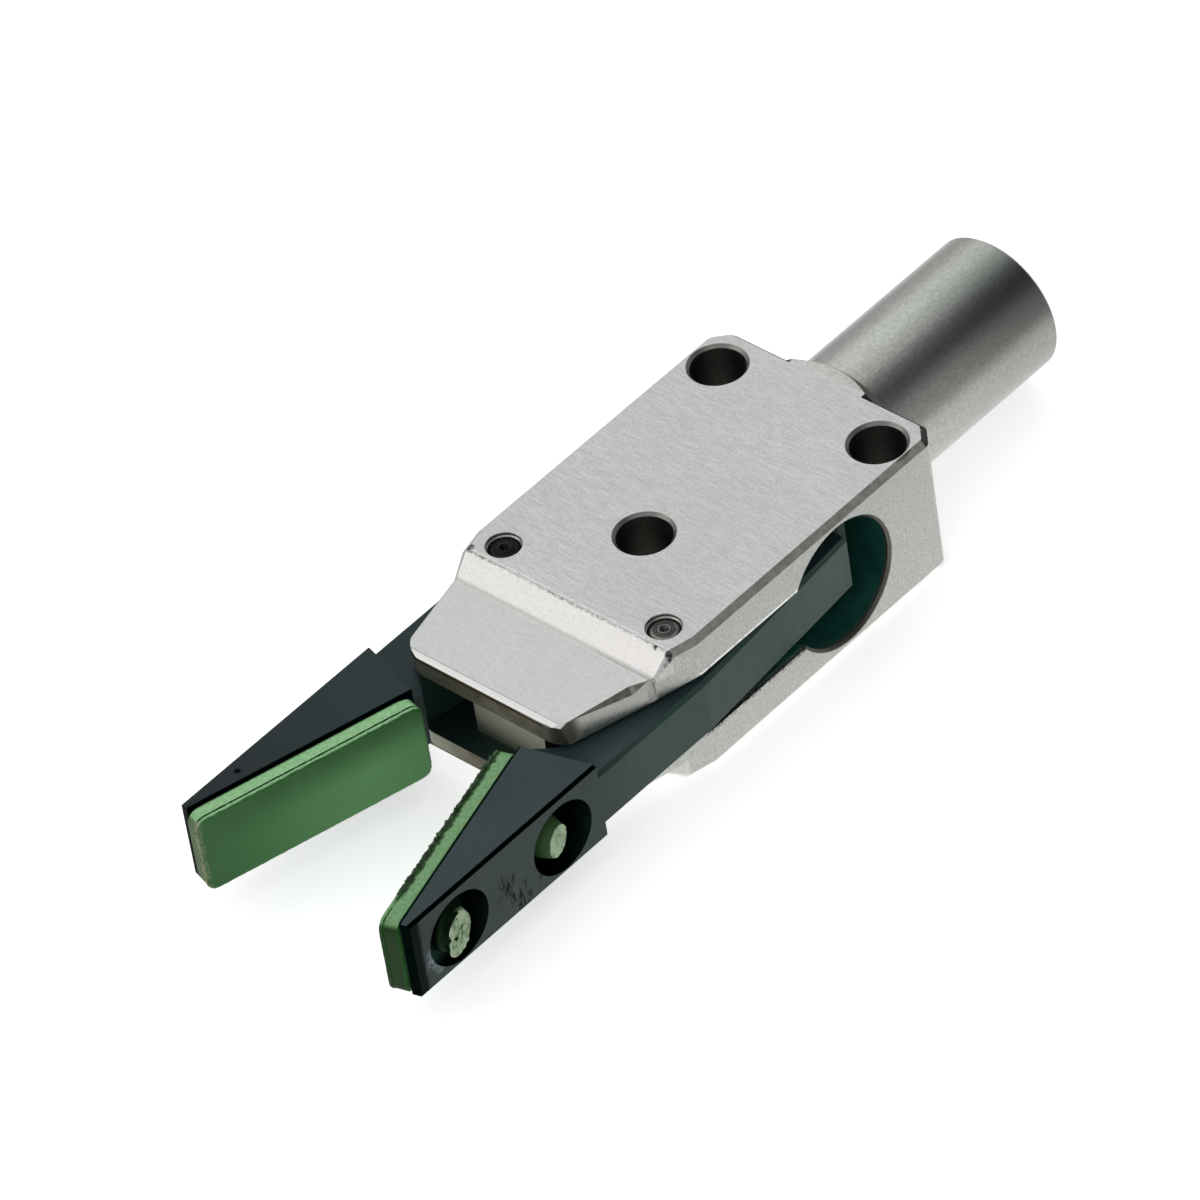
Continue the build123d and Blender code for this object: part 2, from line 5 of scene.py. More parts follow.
import bmesh
import bpy
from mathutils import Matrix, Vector

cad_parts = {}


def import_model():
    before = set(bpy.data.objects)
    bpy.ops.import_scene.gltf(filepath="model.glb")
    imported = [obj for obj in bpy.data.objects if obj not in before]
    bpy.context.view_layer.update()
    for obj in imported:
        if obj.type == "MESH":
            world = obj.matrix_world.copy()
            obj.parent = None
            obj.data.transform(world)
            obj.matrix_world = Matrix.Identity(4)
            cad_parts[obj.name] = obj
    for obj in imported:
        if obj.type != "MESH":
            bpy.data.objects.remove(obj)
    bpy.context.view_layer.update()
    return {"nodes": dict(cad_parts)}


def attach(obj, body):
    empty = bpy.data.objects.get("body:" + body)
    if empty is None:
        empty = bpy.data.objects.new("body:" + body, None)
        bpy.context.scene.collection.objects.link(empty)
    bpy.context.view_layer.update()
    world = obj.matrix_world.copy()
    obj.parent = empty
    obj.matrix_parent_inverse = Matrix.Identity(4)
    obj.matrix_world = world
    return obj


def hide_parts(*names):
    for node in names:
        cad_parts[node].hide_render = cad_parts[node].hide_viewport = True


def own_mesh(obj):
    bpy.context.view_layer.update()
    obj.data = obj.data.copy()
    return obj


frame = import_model()
nodes = frame["nodes"]

MM = 0.001

# Places in millimetres, as the housing and the jaws have them
PIVOT = (34.2, 9.3)
OPEN_ANGLE = math.radians(15.4993)
STEP_TOP_X = 36.45
STEP_FOOT_X = 38.45
NOSE_X = 47.7
HALF_W = 12.8
HALF_H = 7.4
SHOULDER_X = 1.5
SLOT_HALF_H = 3.35
REAR_HOLE = (5.8, 9.3)
CENTRE_HOLE_X = 26.2
HOLE_R = 2.55
POCKET_X = 15.7
POCKET_R = 6.25

# Places on a finger: U runs from the pivot to the tip, V outwards, Z up
SEAT_V = -7.15
HEAD_START_U = 14.5
HEAD_TOP = 4.15
PAD_START = 14.8
PAD_END = 37.65
PAD_H = 8.15
PAD_Z = -0.12
PAD_TOP = PAD_Z + PAD_H / 2
PAD_CORNER = 1.1
STUD_U = (19.4, 32.1)
STUD_Z = -0.35
RECESS_R = 3.5
RECESS_FLOOR = SEAT_V + 1.17
STUD_R = 1.78

# The camera
FOCAL_PX = 9539
PHOTO_PX = 1200
SENSOR_MM = 36.0


# Colours, as linear RGB

STEEL_TINT = SimpleNamespace(
    side_dark=(0.37, 0.38, 0.36, 1), side_light=(0.51, 0.52, 0.49, 1),
    top_dark=(0.42, 0.425, 0.42, 1), top_light=(0.55, 0.555, 0.545, 1),
    warm_grey=(0.42, 0.41, 0.38, 1), shank_stain_and_shade=(0.13, 0.145, 0.13, 1), nose_top=(0.56, 0.56, 0.55, 1),
    strip_dark=(0.52, 0.505, 0.47, 1), strip_light=(0.70, 0.685, 0.65, 1),
    rear_edge_shade=(0.06, 0.06, 0.055, 1), nick=(0.85, 0.84, 0.8, 1),
    band_highlight_left=(0.70, 0.675, 0.66, 1), band_highlight_right=(0.72, 0.69, 0.68, 1), band_glint=(0.95, 0.92, 0.91, 1),
    burr=(0.15, 0.115, 0.09, 1), lit_edge=(0.85, 0.84, 0.82, 1),
    rim_grey=(0.40, 0.40, 0.39, 1), rounded_edge_highlight=(0.88, 0.87, 0.85, 1),
    olive_dark=(0.085, 0.08, 0.05, 1), olive_light=(0.14, 0.13, 0.095, 1), olive_left=(0.28, 0.29, 0.23, 1),
    painted_shade_line=(0.075, 0.05, 0.035, 1), inner_front=(0.34, 0.345, 0.28, 1),
    flank=(0.50, 0.515, 0.475, 1), dressed_dark=(0.20, 0.19, 0.17, 1), dressed_light=(0.42, 0.40, 0.365, 1),
    corner=(0.17, 0.17, 0.14, 1), lightened_sliver=(0.62, 0.63, 0.59, 1), chip=(0.02, 0.018, 0.016, 1),
    inside_shade_dark=(0.006, 0.055, 0.042, 1), inside_shade_light=(0.012, 0.085, 0.07, 1),
    inside_shade_front=(0.014, 0.034, 0.028, 1),
    hole_shade_dark=(0.13, 0.14, 0.125, 1), hole_shade_light=(0.22, 0.23, 0.205, 1), hole_edge_shade=(0.22, 0.225, 0.21, 1),
    slot_rim_highlight=(0.95, 0.96, 0.93, 1), rim_shade=(0.07, 0.065, 0.055, 1),
    scratch=(0.75, 0.75, 0.74, 1), speck=(0.2, 0.19, 0.18, 1),
)

JAW_TINT = SimpleNamespace(
    side_dark=(0.009, 0.030, 0.024, 1), side_light=(0.018, 0.042, 0.034, 1),
    neck=(0.028, 0.062, 0.049, 1), arm_rear_highlight=(0.08, 0.12, 0.11, 1),
    head_front=(0.008, 0.022, 0.020, 1), tip=(0.004, 0.010, 0.010, 1),
    right_top_dark=(0.020, 0.038, 0.042, 1), right_top_light=(0.027, 0.047, 0.052, 1),
    left_top_front_shade=(0.0, 0.009, 0.011, 1), left_top_rear_shade=(0.004, 0.021, 0.024, 1),
    rubbed=(0.045, 0.065, 0.065, 1), scratch=(0.13, 0.14, 0.14, 1), gouge=(0.004, 0.006, 0.006, 1),
    smear=(0.20, 0.26, 0.27, 1), recess=(0.013, 0.030, 0.026, 1), shade_and_marks_black=(0.001, 0.004, 0.0035, 1),
)

PAD_TINT = SimpleNamespace(
    face_dark=(0.026, 0.125, 0.026, 1), face_lit=(0.155, 0.40, 0.15, 1), face_blotch=(0.09, 0.24, 0.088, 1),
    left_top_dark=(0.26, 0.52, 0.24, 1), left_top_light=(0.36, 0.64, 0.34, 1),
    right_top_dark=(0.165, 0.33, 0.145, 1), right_top_light=(0.23, 0.42, 0.21, 1),
    left_end=(0.11, 0.17, 0.08, 1), right_end_shade=(0.012, 0.044, 0.008, 1),
    flash_shade_dark=(0.012, 0.035, 0.010, 1), flash_shade_light=(0.045, 0.10, 0.04, 1),
    line=(0.005, 0.016, 0.005, 1), rind=(0.42, 0.42, 0.28, 1),
    rear_shaft=(0.05, 0.115, 0.04, 1), front_shaft=(0.012, 0.03, 0.014, 1),
    rear_cut_dark=(0.24, 0.36, 0.20, 1), front_cut_dark=(0.15, 0.25, 0.12, 1),
    cut_light=(0.47, 0.60, 0.40, 1),
)

PIN_TINT = SimpleNamespace(
    ring_dark=(0.012, 0.014, 0.013, 1), ring_light=(0.26, 0.265, 0.245, 1), blotch=(0.03, 0.033, 0.03, 1),
    left_pin_darker=(0.006, 0.007, 0.006, 1), shaft=(0.3, 0.3, 0.29, 1),
)


# Shader graphs

class Graph:
    """Adds nodes to one tree. Values may be numbers, colours or sockets."""

    def __init__(self, tree):
        self.tree = tree
        self.column = 0

    def node(self, kind, **settings):
        made = self.tree.nodes.new(kind)
        made.location = (self.column * 40, -(self.column % 7) * 160)
        self.column += 1
        for key, value in settings.items():
            setattr(made, key, value)
        return made

    def put(self, socket, value):
        if isinstance(value, bpy.types.NodeSocket):
            self.tree.links.new(value, socket)
        else:
            socket.default_value = value

    def math(self, operation, a, b=None, c=None, clamp=False):
        made = self.node("ShaderNodeMath", operation=operation, use_clamp=clamp)
        for socket, value in zip(made.inputs, (a, b, c)):
            if value is not None:
                self.put(socket, value)
        return made.outputs[0]

    def times(self, *values):
        total = values[0]
        for value in values[1:]:
            total = self.math("MULTIPLY", total, value)
        return total

    def plus(self, *values):
        total = values[0]
        for value in values[1:]:
            total = self.math("ADD", total, value)
        return total

    def either(self, *values):
        """The strongest of several masks."""
        total = values[0]
        for value in values[1:]:
            total = self.math("MAXIMUM", total, value)
        return total

    def other(self, mask):
        """The mask turned inside out."""
        return self.math("SUBTRACT", 1.0, mask)

    def absolute(self, a):
        return self.math("ABSOLUTE", a)

    def length(self, a, b):
        return self.math("SQRT", self.plus(self.times(a, a), self.times(b, b)))

    def rise(self, value, low, high, out_low=0.0, out_high=1.0):
        """Smooth step of value from low to high."""
        made = self.node("ShaderNodeMapRange", interpolation_type="SMOOTHSTEP")
        for socket, number in zip(made.inputs, (value, low, high, out_low, out_high)):
            self.put(socket, number)
        return made.outputs[0]

    def band(self, value, low, high, soft):
        """1 between low and high, with soft edges outside them."""
        return self.times(self.rise(value, low - soft, low), self.rise(value, high + soft, high))

    def near(self, value, place, width):
        """1 at the place, fading to 0 at the width away from it."""
        away = self.absolute(self.math("SUBTRACT", value, place))
        return self.rise(away, width, 0.0)

    def spot(self, place, centre, radius):
        """1 inside a ball round the centre, with a soft rim."""
        away = self.node("ShaderNodeVectorMath", operation="DISTANCE")
        self.put(away.inputs[0], place)
        away.inputs[1].default_value = centre
        return self.rise(away.outputs["Value"], radius * 1.4, radius * 0.6)

    def mix(self, amount, a, b, blend="MIX"):
        made = self.node("ShaderNodeMix", data_type="RGBA", blend_type=blend)
        self.put(made.inputs[0], amount)
        self.put(made.inputs[6], a)
        self.put(made.inputs[7], b)
        return made.outputs[2]

    def blend(self, amount, a, b):
        made = self.node("ShaderNodeMix", data_type="FLOAT")
        for socket, value in zip((made.inputs[0], made.inputs[2], made.inputs[3]), (amount, a, b)):
            self.put(socket, value)
        return made.outputs[0]

    def vector(self, x, y, z):
        made = self.node("ShaderNodeCombineXYZ")
        for socket, value in zip(made.inputs, (x, y, z)):
            self.put(socket, value)
        return made.outputs[0]

    def parts(self, vector):
        made = self.node("ShaderNodeSeparateXYZ")
        self.put(made.inputs[0], vector)
        return made.outputs

    def scaled(self, vector, scale, turn=(0, 0, 0), shift=(0, 0, 0)):
        made = self.node("ShaderNodeMapping")
        self.put(made.inputs["Vector"], vector)
        made.inputs["Location"].default_value = shift
        made.inputs["Rotation"].default_value = turn
        made.inputs["Scale"].default_value = scale
        return made.outputs[0]

    def noise(self, vector, scale=1.0, detail=2.0, rough=0.5):
        made = self.node("ShaderNodeTexNoise")
        self.put(made.inputs["Vector"], vector)
        self.put(made.inputs["Scale"], scale)
        made.inputs["Detail"].default_value = detail
        made.inputs["Roughness"].default_value = rough
        return made.outputs[0]

    def group(self, tree, **values):
        made = self.node("ShaderNodeGroup", node_tree=tree)
        for key, value in values.items():
            self.put(made.inputs[key.replace("_", " ")], value)
        return made.outputs

    def bump(self, height, strength, distance):
        made = self.node("ShaderNodeBump")
        made.inputs["Strength"].default_value = strength
        made.inputs["Distance"].default_value = distance
        self.put(made.inputs["Height"], height)
        return made.outputs[0]


def new_group(name, inputs, outputs):
    """A shader node group with its input and output sockets."""
    tree = bpy.data.node_groups.new(name, "ShaderNodeTree")
    for label, kind, value in inputs:
        socket = tree.interface.new_socket(label, in_out="INPUT", socket_type=kind)
        if value is not None:
            socket.default_value = value
    for label, kind in outputs:
        tree.interface.new_socket(label, in_out="OUTPUT", socket_type=kind)
    graph = Graph(tree)
    return tree, graph, graph.node("NodeGroupInput").outputs, graph.node("NodeGroupOutput").inputs


FLOAT, VECTOR = "NodeSocketFloat", "NodeSocketVector"


def grain_group(name, line_scale, line_rough, grit_scale, grit_shift):
    """Faint machining lines over a blasted grit. Vector is in millimetres."""
    tree, g, given, out = new_group(
        name,
        [("Vector", VECTOR, None), ("Lines", FLOAT, 0.3)],
        [("Tone", FLOAT), ("Height", FLOAT)],
    )
    lines = g.noise(g.scaled(given["Vector"], line_scale), 1.0, 3.0, line_rough)
    grit = g.noise(g.scaled(given["Vector"], grit_scale, shift=grit_shift), 1.0, 3.0, 0.7)
    total = g.blend(given["Lines"], grit, lines)
    g.put(out["Tone"], g.rise(total, 0.34, 0.66))
    g.put(out["Height"], total)
    return tree


def blotch_group():
    """Slow uneven tone, as handled metal and moulded rubber have."""
    tree, g, given, out = new_group(
        "blotch",
        [("Vector", VECTOR, None), ("Size", FLOAT, 1.0)],
        [("Tone", FLOAT)],
    )
    scale = g.math("DIVIDE", 1.0, given["Size"])
    broad = g.noise(given["Vector"], scale, 3.0, 0.55)
    g.put(out["Tone"], g.rise(broad, 0.32, 0.68))
    return tree


def scratch_group():
    """Thin short scratches in three directions. Amount is how many show."""
    tree, g, given, out = new_group(
        "scratches",
        [("Vector", VECTOR, None), ("Amount", FLOAT, 0.5), ("Size", FLOAT, 1.0)],
        [("Mask", FLOAT)],
    )
    masks = []
    for turn, shift in ((0.5, (0, 0, 0)), (-0.9, (17, 5, 3)), (2.1, (41, 23, 11))):
        vector = g.scaled(given["Vector"], (1, 1, 1), turn=(turn * 0.7, turn * 0.4, turn), shift=shift)
        streak = g.noise(g.scaled(vector, (0.5, 9.0, 9.0)), g.math("DIVIDE", 1.0, given["Size"]), 2.0, 0.4)
        limit = g.blend(given["Amount"], 0.86, 0.66)
        masks.append(g.rise(streak, limit, g.plus(limit, 0.03)))
    g.put(out["Mask"], g.either(*masks))
    return tree


def speck_group():
    """Small specks. Amount is how many show."""
    tree, g, given, out = new_group(
        "specks",
        [("Vector", VECTOR, None), ("Amount", FLOAT, 0.5), ("Size", FLOAT, 0.3)],
        [("Mask", FLOAT)],
    )
    grain = g.noise(given["Vector"], g.math("DIVIDE", 1.0, given["Size"]), 2.0, 0.6)
    limit = g.blend(given["Amount"], 0.8, 0.52)
    g.put(out["Mask"], g.rise(grain, limit, g.plus(limit, 0.05)))
    return tree


def finger_place_group():
    """Turns a place and a normal of either side into the closed finger's own U, V and Z, in millimetres."""
    tree, g, given, out = new_group(
        "finger_place",
        [("Vector", VECTOR, None), ("Normal", VECTOR, None)],
        [("U", FLOAT), ("V", FLOAT), ("Facing U", FLOAT), ("Facing V", FLOAT), ("Right", FLOAT)],
    )
    x, y, _ = g.parts(given["Vector"])
    nx, ny, _ = g.parts(given["Normal"])
    right = g.rise(y, -0.01, 0.01)
    side = g.blend(right, -1.0, 1.0)
    ca, sa = math.cos(OPEN_ANGLE), math.sin(OPEN_ANGLE)
    dx = g.math("SUBTRACT", x, PIVOT[0])
    dy = g.math("SUBTRACT", g.absolute(y), PIVOT[1])
    my = g.times(ny, side)
    g.put(out["U"], g.plus(g.times(dx, ca), g.times(dy, sa)))
    g.put(out["V"], g.plus(g.times(dx, -sa), g.times(dy, ca)))
    g.put(out["Facing U"], g.plus(g.times(nx, ca), g.times(my, sa)))
    g.put(out["Facing V"], g.plus(g.times(nx, -sa), g.times(my, ca)))
    g.put(out["Right"], right)
    return tree


# Ground lines run along Y, turned lines are rings round X
GRAIN = grain_group("ground_grain", (6.0, 0.7, 6.0), 0.6, (4.6, 3.8, 4.6), (5, 1, 9))
TURNED = grain_group("turned_lines", (9.0, 0.12, 0.12), 0.65, (2.6, 3.2, 3.2), (2, 4, 8))
BLOTCH = blotch_group()
SCRATCH = scratch_group()
SPECK = speck_group()
FINGER = finger_place_group()


def blotches(g, place, size):
    return g.group(BLOTCH, Vector=place, Size=size)["Tone"]


def new_material(name):
    """An empty node material with its graph and the socket that its shader goes into."""
    material = bpy.data.materials.new(name)
    material.use_nodes = True
    material.node_tree.nodes.clear()
    g = Graph(material.node_tree)
    return material, g, g.node("ShaderNodeOutputMaterial").inputs["Surface"]


def surface(name, metallic=0.0, roughness=0.5, **sockets):
    """A material with its graph, shader, place in millimetres and object normal."""
    material, g, output = new_material(name)
    shader = g.node("ShaderNodeBsdfPrincipled")
    g.put(output, shader.outputs[0])
    shader.inputs["Metallic"].default_value = metallic
    shader.inputs["Roughness"].default_value = roughness
    for key, value in sockets.items():
        shader.inputs[key.replace("_", " ")].default_value = value
    texture = g.node("ShaderNodeTexCoord")
    place = g.scaled(texture.outputs["Object"], (1000, 1000, 1000))
    return material, g, shader, place, texture.outputs["Normal"]


def housing_steel():
    """Ground stainless steel with milled edges, a step painted bright, a front painted dark olive and painted
    shade inside.
    """
    material, g, shader, place, normal = surface("ground_steel", metallic=1.0)
    tint = STEEL_TINT
    x, y, z = g.parts(place)
    nx, ny, nz = g.parts(normal)
    up, side, high = g.absolute(nz), g.absolute(y), g.absolute(z)
    block = g.rise(x, SHOULDER_X - 0.2, SHOULDER_X)
    shank = g.other(block)
    nose = g.rise(x, STEP_FOOT_X - 0.1, STEP_FOOT_X + 0.3)

    # Tone of the ground faces and of the shank
    flat_top = g.times(block, g.rise(up, 0.93, 0.99))
    top_grain = g.group(GRAIN, Vector=place, Lines=0.45)
    on_edge = g.scaled(place, (1, 1, 1), turn=(math.radians(90), 0, 0))
    side_grain = g.group(GRAIN, Vector=on_edge, Lines=0.2)
    turned = g.group(TURNED, Vector=place, Lines=0.2)
    tone = g.blend(flat_top, side_grain["Tone"], top_grain["Tone"])
    tone = g.blend(shank, tone, turned["Tone"])
    blotch = blotches(g, place, 9.0)
    dark_steel = g.mix(flat_top, tint.side_dark, tint.top_dark)
    light_steel = g.mix(flat_top, tint.side_light, tint.top_light)
    colour = g.mix(tone, dark_steel, light_steel)
    colour = g.mix(g.times(blotch, 0.2), colour, tint.warm_grey)
    # Stain on the upper +Y side of the shank, with painted shade that deepens towards the rear end
    away = g.times(shank, g.rise(y, -3.0, 4.0), g.rise(nz, 0.0, 0.7, 0.45, 1.0))
    colour = g.mix(g.times(away, g.rise(x, -2.0, -21.0, 0.2, 0.85)), colour, tint.shank_stain_and_shade)
    colour = g.mix(g.times(nose, flat_top, 0.5), colour, tint.nose_top)

    # Milled chamfer along the long edges of the block, with small nicks
    edge_zone = g.either(g.rise(side, 11.1, 11.2), g.rise(x, 2.3, 2.2))
    strip = g.times(
        block, g.rise(high, HALF_H - 0.6, HALF_H - 0.56), g.rise(up, 0.93, 0.88),
        edge_zone, g.rise(x, STEP_TOP_X + 0.15, STEP_TOP_X - 0.05),
    )
    nick = g.group(SPECK, Vector=g.scaled(place, (1, 1, 0.3)), Amount=0.4, Size=0.4)["Mask"]
    strip_tone = blotches(g, place, 0.8)
    strip_colour = g.mix(strip_tone, tint.strip_dark, tint.strip_light)
    # Painted dark reflection, near black, on the chamfer at the rear end and on the rear right corner
    rear_edge_shade = g.either(g.rise(x, 2.4, 2.3), g.times(g.rise(y, 11.3, 11.5), g.rise(x, 3.6, 3.3)))
    strip_colour = g.mix(rear_edge_shade, strip_colour, tint.rear_edge_shade)
    strip_colour = g.mix(g.times(nick, 0.6), strip_colour, tint.nick)
    colour = g.mix(strip, colour, strip_colour)

    # Step band, painted brighter as a highlight with painted glints, with dark burrs along its upper line and
    # a painted highlight line on the top face just behind its edge
    on_step = g.times(g.rise(x, STEP_TOP_X - 0.05, STEP_TOP_X + 0.05), g.rise(x, 40.5, 39.5))
    band = g.times(on_step, g.rise(nx, 0.05, 0.5), g.rise(high, 5.0, 5.4))
    band_colour = g.mix(g.rise(y, -9.0, 11.0), tint.band_highlight_left, tint.band_highlight_right)
    band_colour = g.mix(g.times(side_grain["Tone"], 0.18), band_colour, tint.band_glint)
    colour = g.mix(band, colour, band_colour)
    burr_noise = g.noise(g.scaled(place, (4.5, 2.2, 4.5)), 1.0, 4.0, 0.75)
    burr_line = g.times(g.near(x, STEP_TOP_X + 0.02, 0.17), g.rise(high, 6.8, 7.1))
    burrs = g.times(burr_line, g.rise(burr_noise, 0.47, 0.57), g.rise(blotch, 0.2, 0.7, 0.45, 1.0))
    colour = g.mix(g.times(burrs, 0.85), colour, tint.burr)
    lit_edge = g.times(
        g.near(x, STEP_TOP_X - 0.3, 0.16), g.rise(high, HALF_H - 0.1, HALF_H - 0.02),
        g.rise(burr_noise, 0.42, 0.52),
    )
    colour = g.mix(g.times(lit_edge, 0.5), colour, tint.lit_edge)

    # Front of the nose: a rounded edge painted bright as a highlight, over a face painted dark olive as the
    # dark reflection it shows
    front = g.times(g.rise(x, NOSE_X - 0.2, NOSE_X - 0.1), g.rise(nx, 0.9, 0.97))
    rim = g.times(g.rise(x, 46.6, 46.8), g.rise(high, 4.7, 4.8))
    rounded = g.times(rim, g.band(nx, 0.22, 0.78, 0.1), g.rise(up, 0.3, 0.5))
    colour = g.mix(g.times(rim, g.band(nx, 0.04, 0.16, 0.03)), colour, tint.rim_grey)
    colour = g.mix(rounded, colour, tint.rounded_edge_highlight)
    olive = g.mix(blotches(g, place, 1.6), tint.olive_dark, tint.olive_light)
    olive = g.mix(g.rise(y, -2.0, -8.0), olive, tint.olive_left)
    colour = g.mix(front, colour, olive)
    # Thin brown painted shade line under the rounded edge
    painted_shade_line = g.times(rim, g.band(nx, 0.86, 0.97, 0.04))
    colour = g.mix(painted_shade_line, colour, tint.painted_shade_line)
    inner_front = g.times(
        g.rise(x, 40.0, 41.0), g.rise(x, NOSE_X - 0.3, NOSE_X - 0.5), g.rise(nx, 0.8, 0.95),
        g.rise(high, SLOT_HALF_H + 0.25, SLOT_HALF_H + 0.05),
    )
    colour = g.mix(inner_front, colour, tint.inner_front)

    # Edge dressed by hand at the upper right of the nose
    dressed = g.times(
        nose, g.rise(y, 4.0, 6.0), g.rise(z, 3.4, 3.8), g.rise(up, 0.985, 0.95),
        g.rise(up, 0.38, 0.55), g.other(rounded),
    )
    flank = g.times(nose, g.rise(y, 7.0, 8.0), g.rise(up, 0.5, 0.4), g.rise(ny, 0.5, 0.7))
    colour = g.mix(g.times(flank, 0.6), colour, tint.flank)
    dressed_colour = g.mix(strip_tone, tint.dressed_dark, tint.dressed_light)
    colour = g.mix(dressed, colour, dressed_colour)
    corner = g.times(g.rise(x, 45.3, 46.4), g.rise(y, 6.5, 7.5), g.rise(up, 0.7, 0.5), g.rise(z, 3.4, 3.6))
    colour = g.mix(corner, colour, tint.corner)
    # Painted light on a thin facet at the right of the step's foot, which reflects the dark flag
    lightened_sliver = g.times(g.band(x, 38.35, 39.05, 0.1), g.rise(y, 10.9, 11.2), g.band(z, 3.4, 5.6, 0.05))
    colour = g.mix(g.times(lightened_sliver, g.rise(up, 0.5, 0.4)), colour, tint.lightened_sliver)

    # Chipped corners at the ends of the step
    chip_noise = g.noise(g.scaled(place, (4.0, 4.0, 4.0)), 1.0, 3.0, 0.6)
    chips = g.either(
        g.spot(place, (36.5, 11.9, 7.2), 0.36), g.spot(place, (36.8, 12.2, 6.9), 0.38),
        g.spot(place, (37.3, 12.1, 6.6), 0.34), g.spot(place, (37.8, 11.9, 6.2), 0.24),
        g.spot(place, (36.1, -11.6, 7.4), 0.4), g.spot(place, (37.0, 12.8, -5.5), 0.5),
        g.spot(place, (36.6, 10.4, 7.4), 0.25),
    )
    chips = g.times(chips, g.rise(chip_noise, 0.36, 0.46))
    colour = g.mix(g.times(chips, 0.95), colour, tint.chip)

    # Inside of slots, pocket and bores: painted shade, dark green in the pocket and on the slot floors,
    # darker steel in the bores
    px = g.math("SUBTRACT", x, POCKET_X)
    pocket_r = g.length(px, z)
    in_pocket = g.times(
        block, g.rise(pocket_r, POCKET_R + 0.15, POCKET_R + 0.05), g.rise(side, HALF_W - 0.3, HALF_W - 0.5),
    )
    in_slot = g.times(
        g.rise(high, SLOT_HALF_H + 0.07, SLOT_HALF_H + 0.03), g.rise(x, 14.0, 15.0), g.rise(nx, 0.5, 0.3),
        g.rise(side, HALF_W - 0.2, HALF_W - 0.5),
    )
    floor_zone = g.times(in_slot, g.rise(up, 0.9, 0.98))
    dark = g.either(in_pocket, floor_zone)
    inside = g.mix(blotches(g, place, 2.5), tint.inside_shade_dark, tint.inside_shade_light)
    inside = g.mix(g.rise(x, 36.0, 39.0), inside, tint.inside_shade_front)
    colour = g.mix(dark, colour, inside)
    to_rear_hole = g.length(g.math("SUBTRACT", x, REAR_HOLE[0]), g.math("SUBTRACT", side, REAR_HOLE[1]))
    to_centre_hole = g.length(g.math("SUBTRACT", x, CENTRE_HOLE_X), y)
    to_hole = g.math("MINIMUM", to_rear_hole, to_centre_hole)
    in_hole = g.times(g.rise(to_hole, HOLE_R + 0.15, HOLE_R + 0.05), g.rise(up, 0.3, 0.1))
    colour = g.mix(in_hole, colour, g.mix(side_grain["Tone"], tint.hole_shade_dark, tint.hole_shade_light))
    # Painted shade on the chamfers of the bores
    hole_edge_shade = g.times(g.rise(to_hole, HOLE_R + 0.65, HOLE_R + 0.55), g.band(up, 0.3, 0.9, 0.05))
    colour = g.mix(g.times(hole_edge_shade, 0.8), colour, tint.hole_edge_shade)

    # Painted highlight along the rim over the slot, painted shade along the rim below it and round the rear
    # and lower part of the pocket
    highlight_breakup = g.noise(g.scaled(place, (1.2, 1.2, 1.2)), 1.0, 3.0, 0.6)
    on_side = g.times(block, g.rise(side, HALF_W - 0.2, HALF_W - 0.02), g.rise(x, 36.0, 34.0))
    past_pocket = g.rise(x, 19.0, 21.0)
    slot_rim = g.times(g.near(z, SLOT_HALF_H + 0.15, 0.16), past_pocket, g.rise(highlight_breakup, 0.36, 0.5))
    colour = g.mix(g.times(on_side, slot_rim), colour, tint.slot_rim_highlight)
    slot_rim_shade = g.times(g.near(z, -SLOT_HALF_H - 0.1, 0.3), past_pocket, g.rise(chip_noise, 0.46, 0.54))
    rear_or_low = g.either(g.rise(x, 15.0, 12.0), g.rise(z, 0.0, -2.0))
    pocket_rim_shade = g.times(g.band(pocket_r, POCKET_R - 0.05, POCKET_R + 0.22, 0.06), rear_or_low)
    rim_shade = g.times(
        block, g.either(slot_rim_shade, pocket_rim_shade), g.rise(side, HALF_W - 0.6, HALF_W - 0.5),
        g.rise(x, 36.0, 34.0),
    )
    colour = g.mix(g.times(rim_shade, 0.9), colour, tint.rim_shade)

    # A few scratches and specks all over
    scratch = g.group(SCRATCH, Vector=place, Amount=0.3, Size=1.4)["Mask"]
    colour = g.mix(g.times(scratch, 0.25), colour, tint.scratch)
    speck = g.group(SPECK, Vector=place, Amount=0.15, Size=0.22)["Mask"]
    colour = g.mix(g.times(speck, 0.4), colour, tint.speck)
    g.put(shader.inputs["Base Color"], colour)
    g.put(shader.inputs["Metallic"], g.other(dark))

    rough = g.blend(tone, 0.42, 0.36)
    rough = g.blend(flank, rough, 0.24)
    rough = g.blend(g.either(front, corner, lightened_sliver, inner_front), rough, 0.6)
    rough = g.blend(rounded, rough, 0.5)
    rough = g.blend(shank, rough, 0.31)
    rough = g.blend(strip, rough, 0.4)
    g.put(shader.inputs["Roughness"], rough)
    height = g.blend(flat_top, side_grain["Height"], top_grain["Height"])
    height = g.blend(shank, height, turned["Height"])
    height = g.math("SUBTRACT", height, g.times(g.either(burrs, chips), 0.8))
    g.put(shader.inputs["Normal"], g.bump(height, 0.55, 0.00003))
    return material


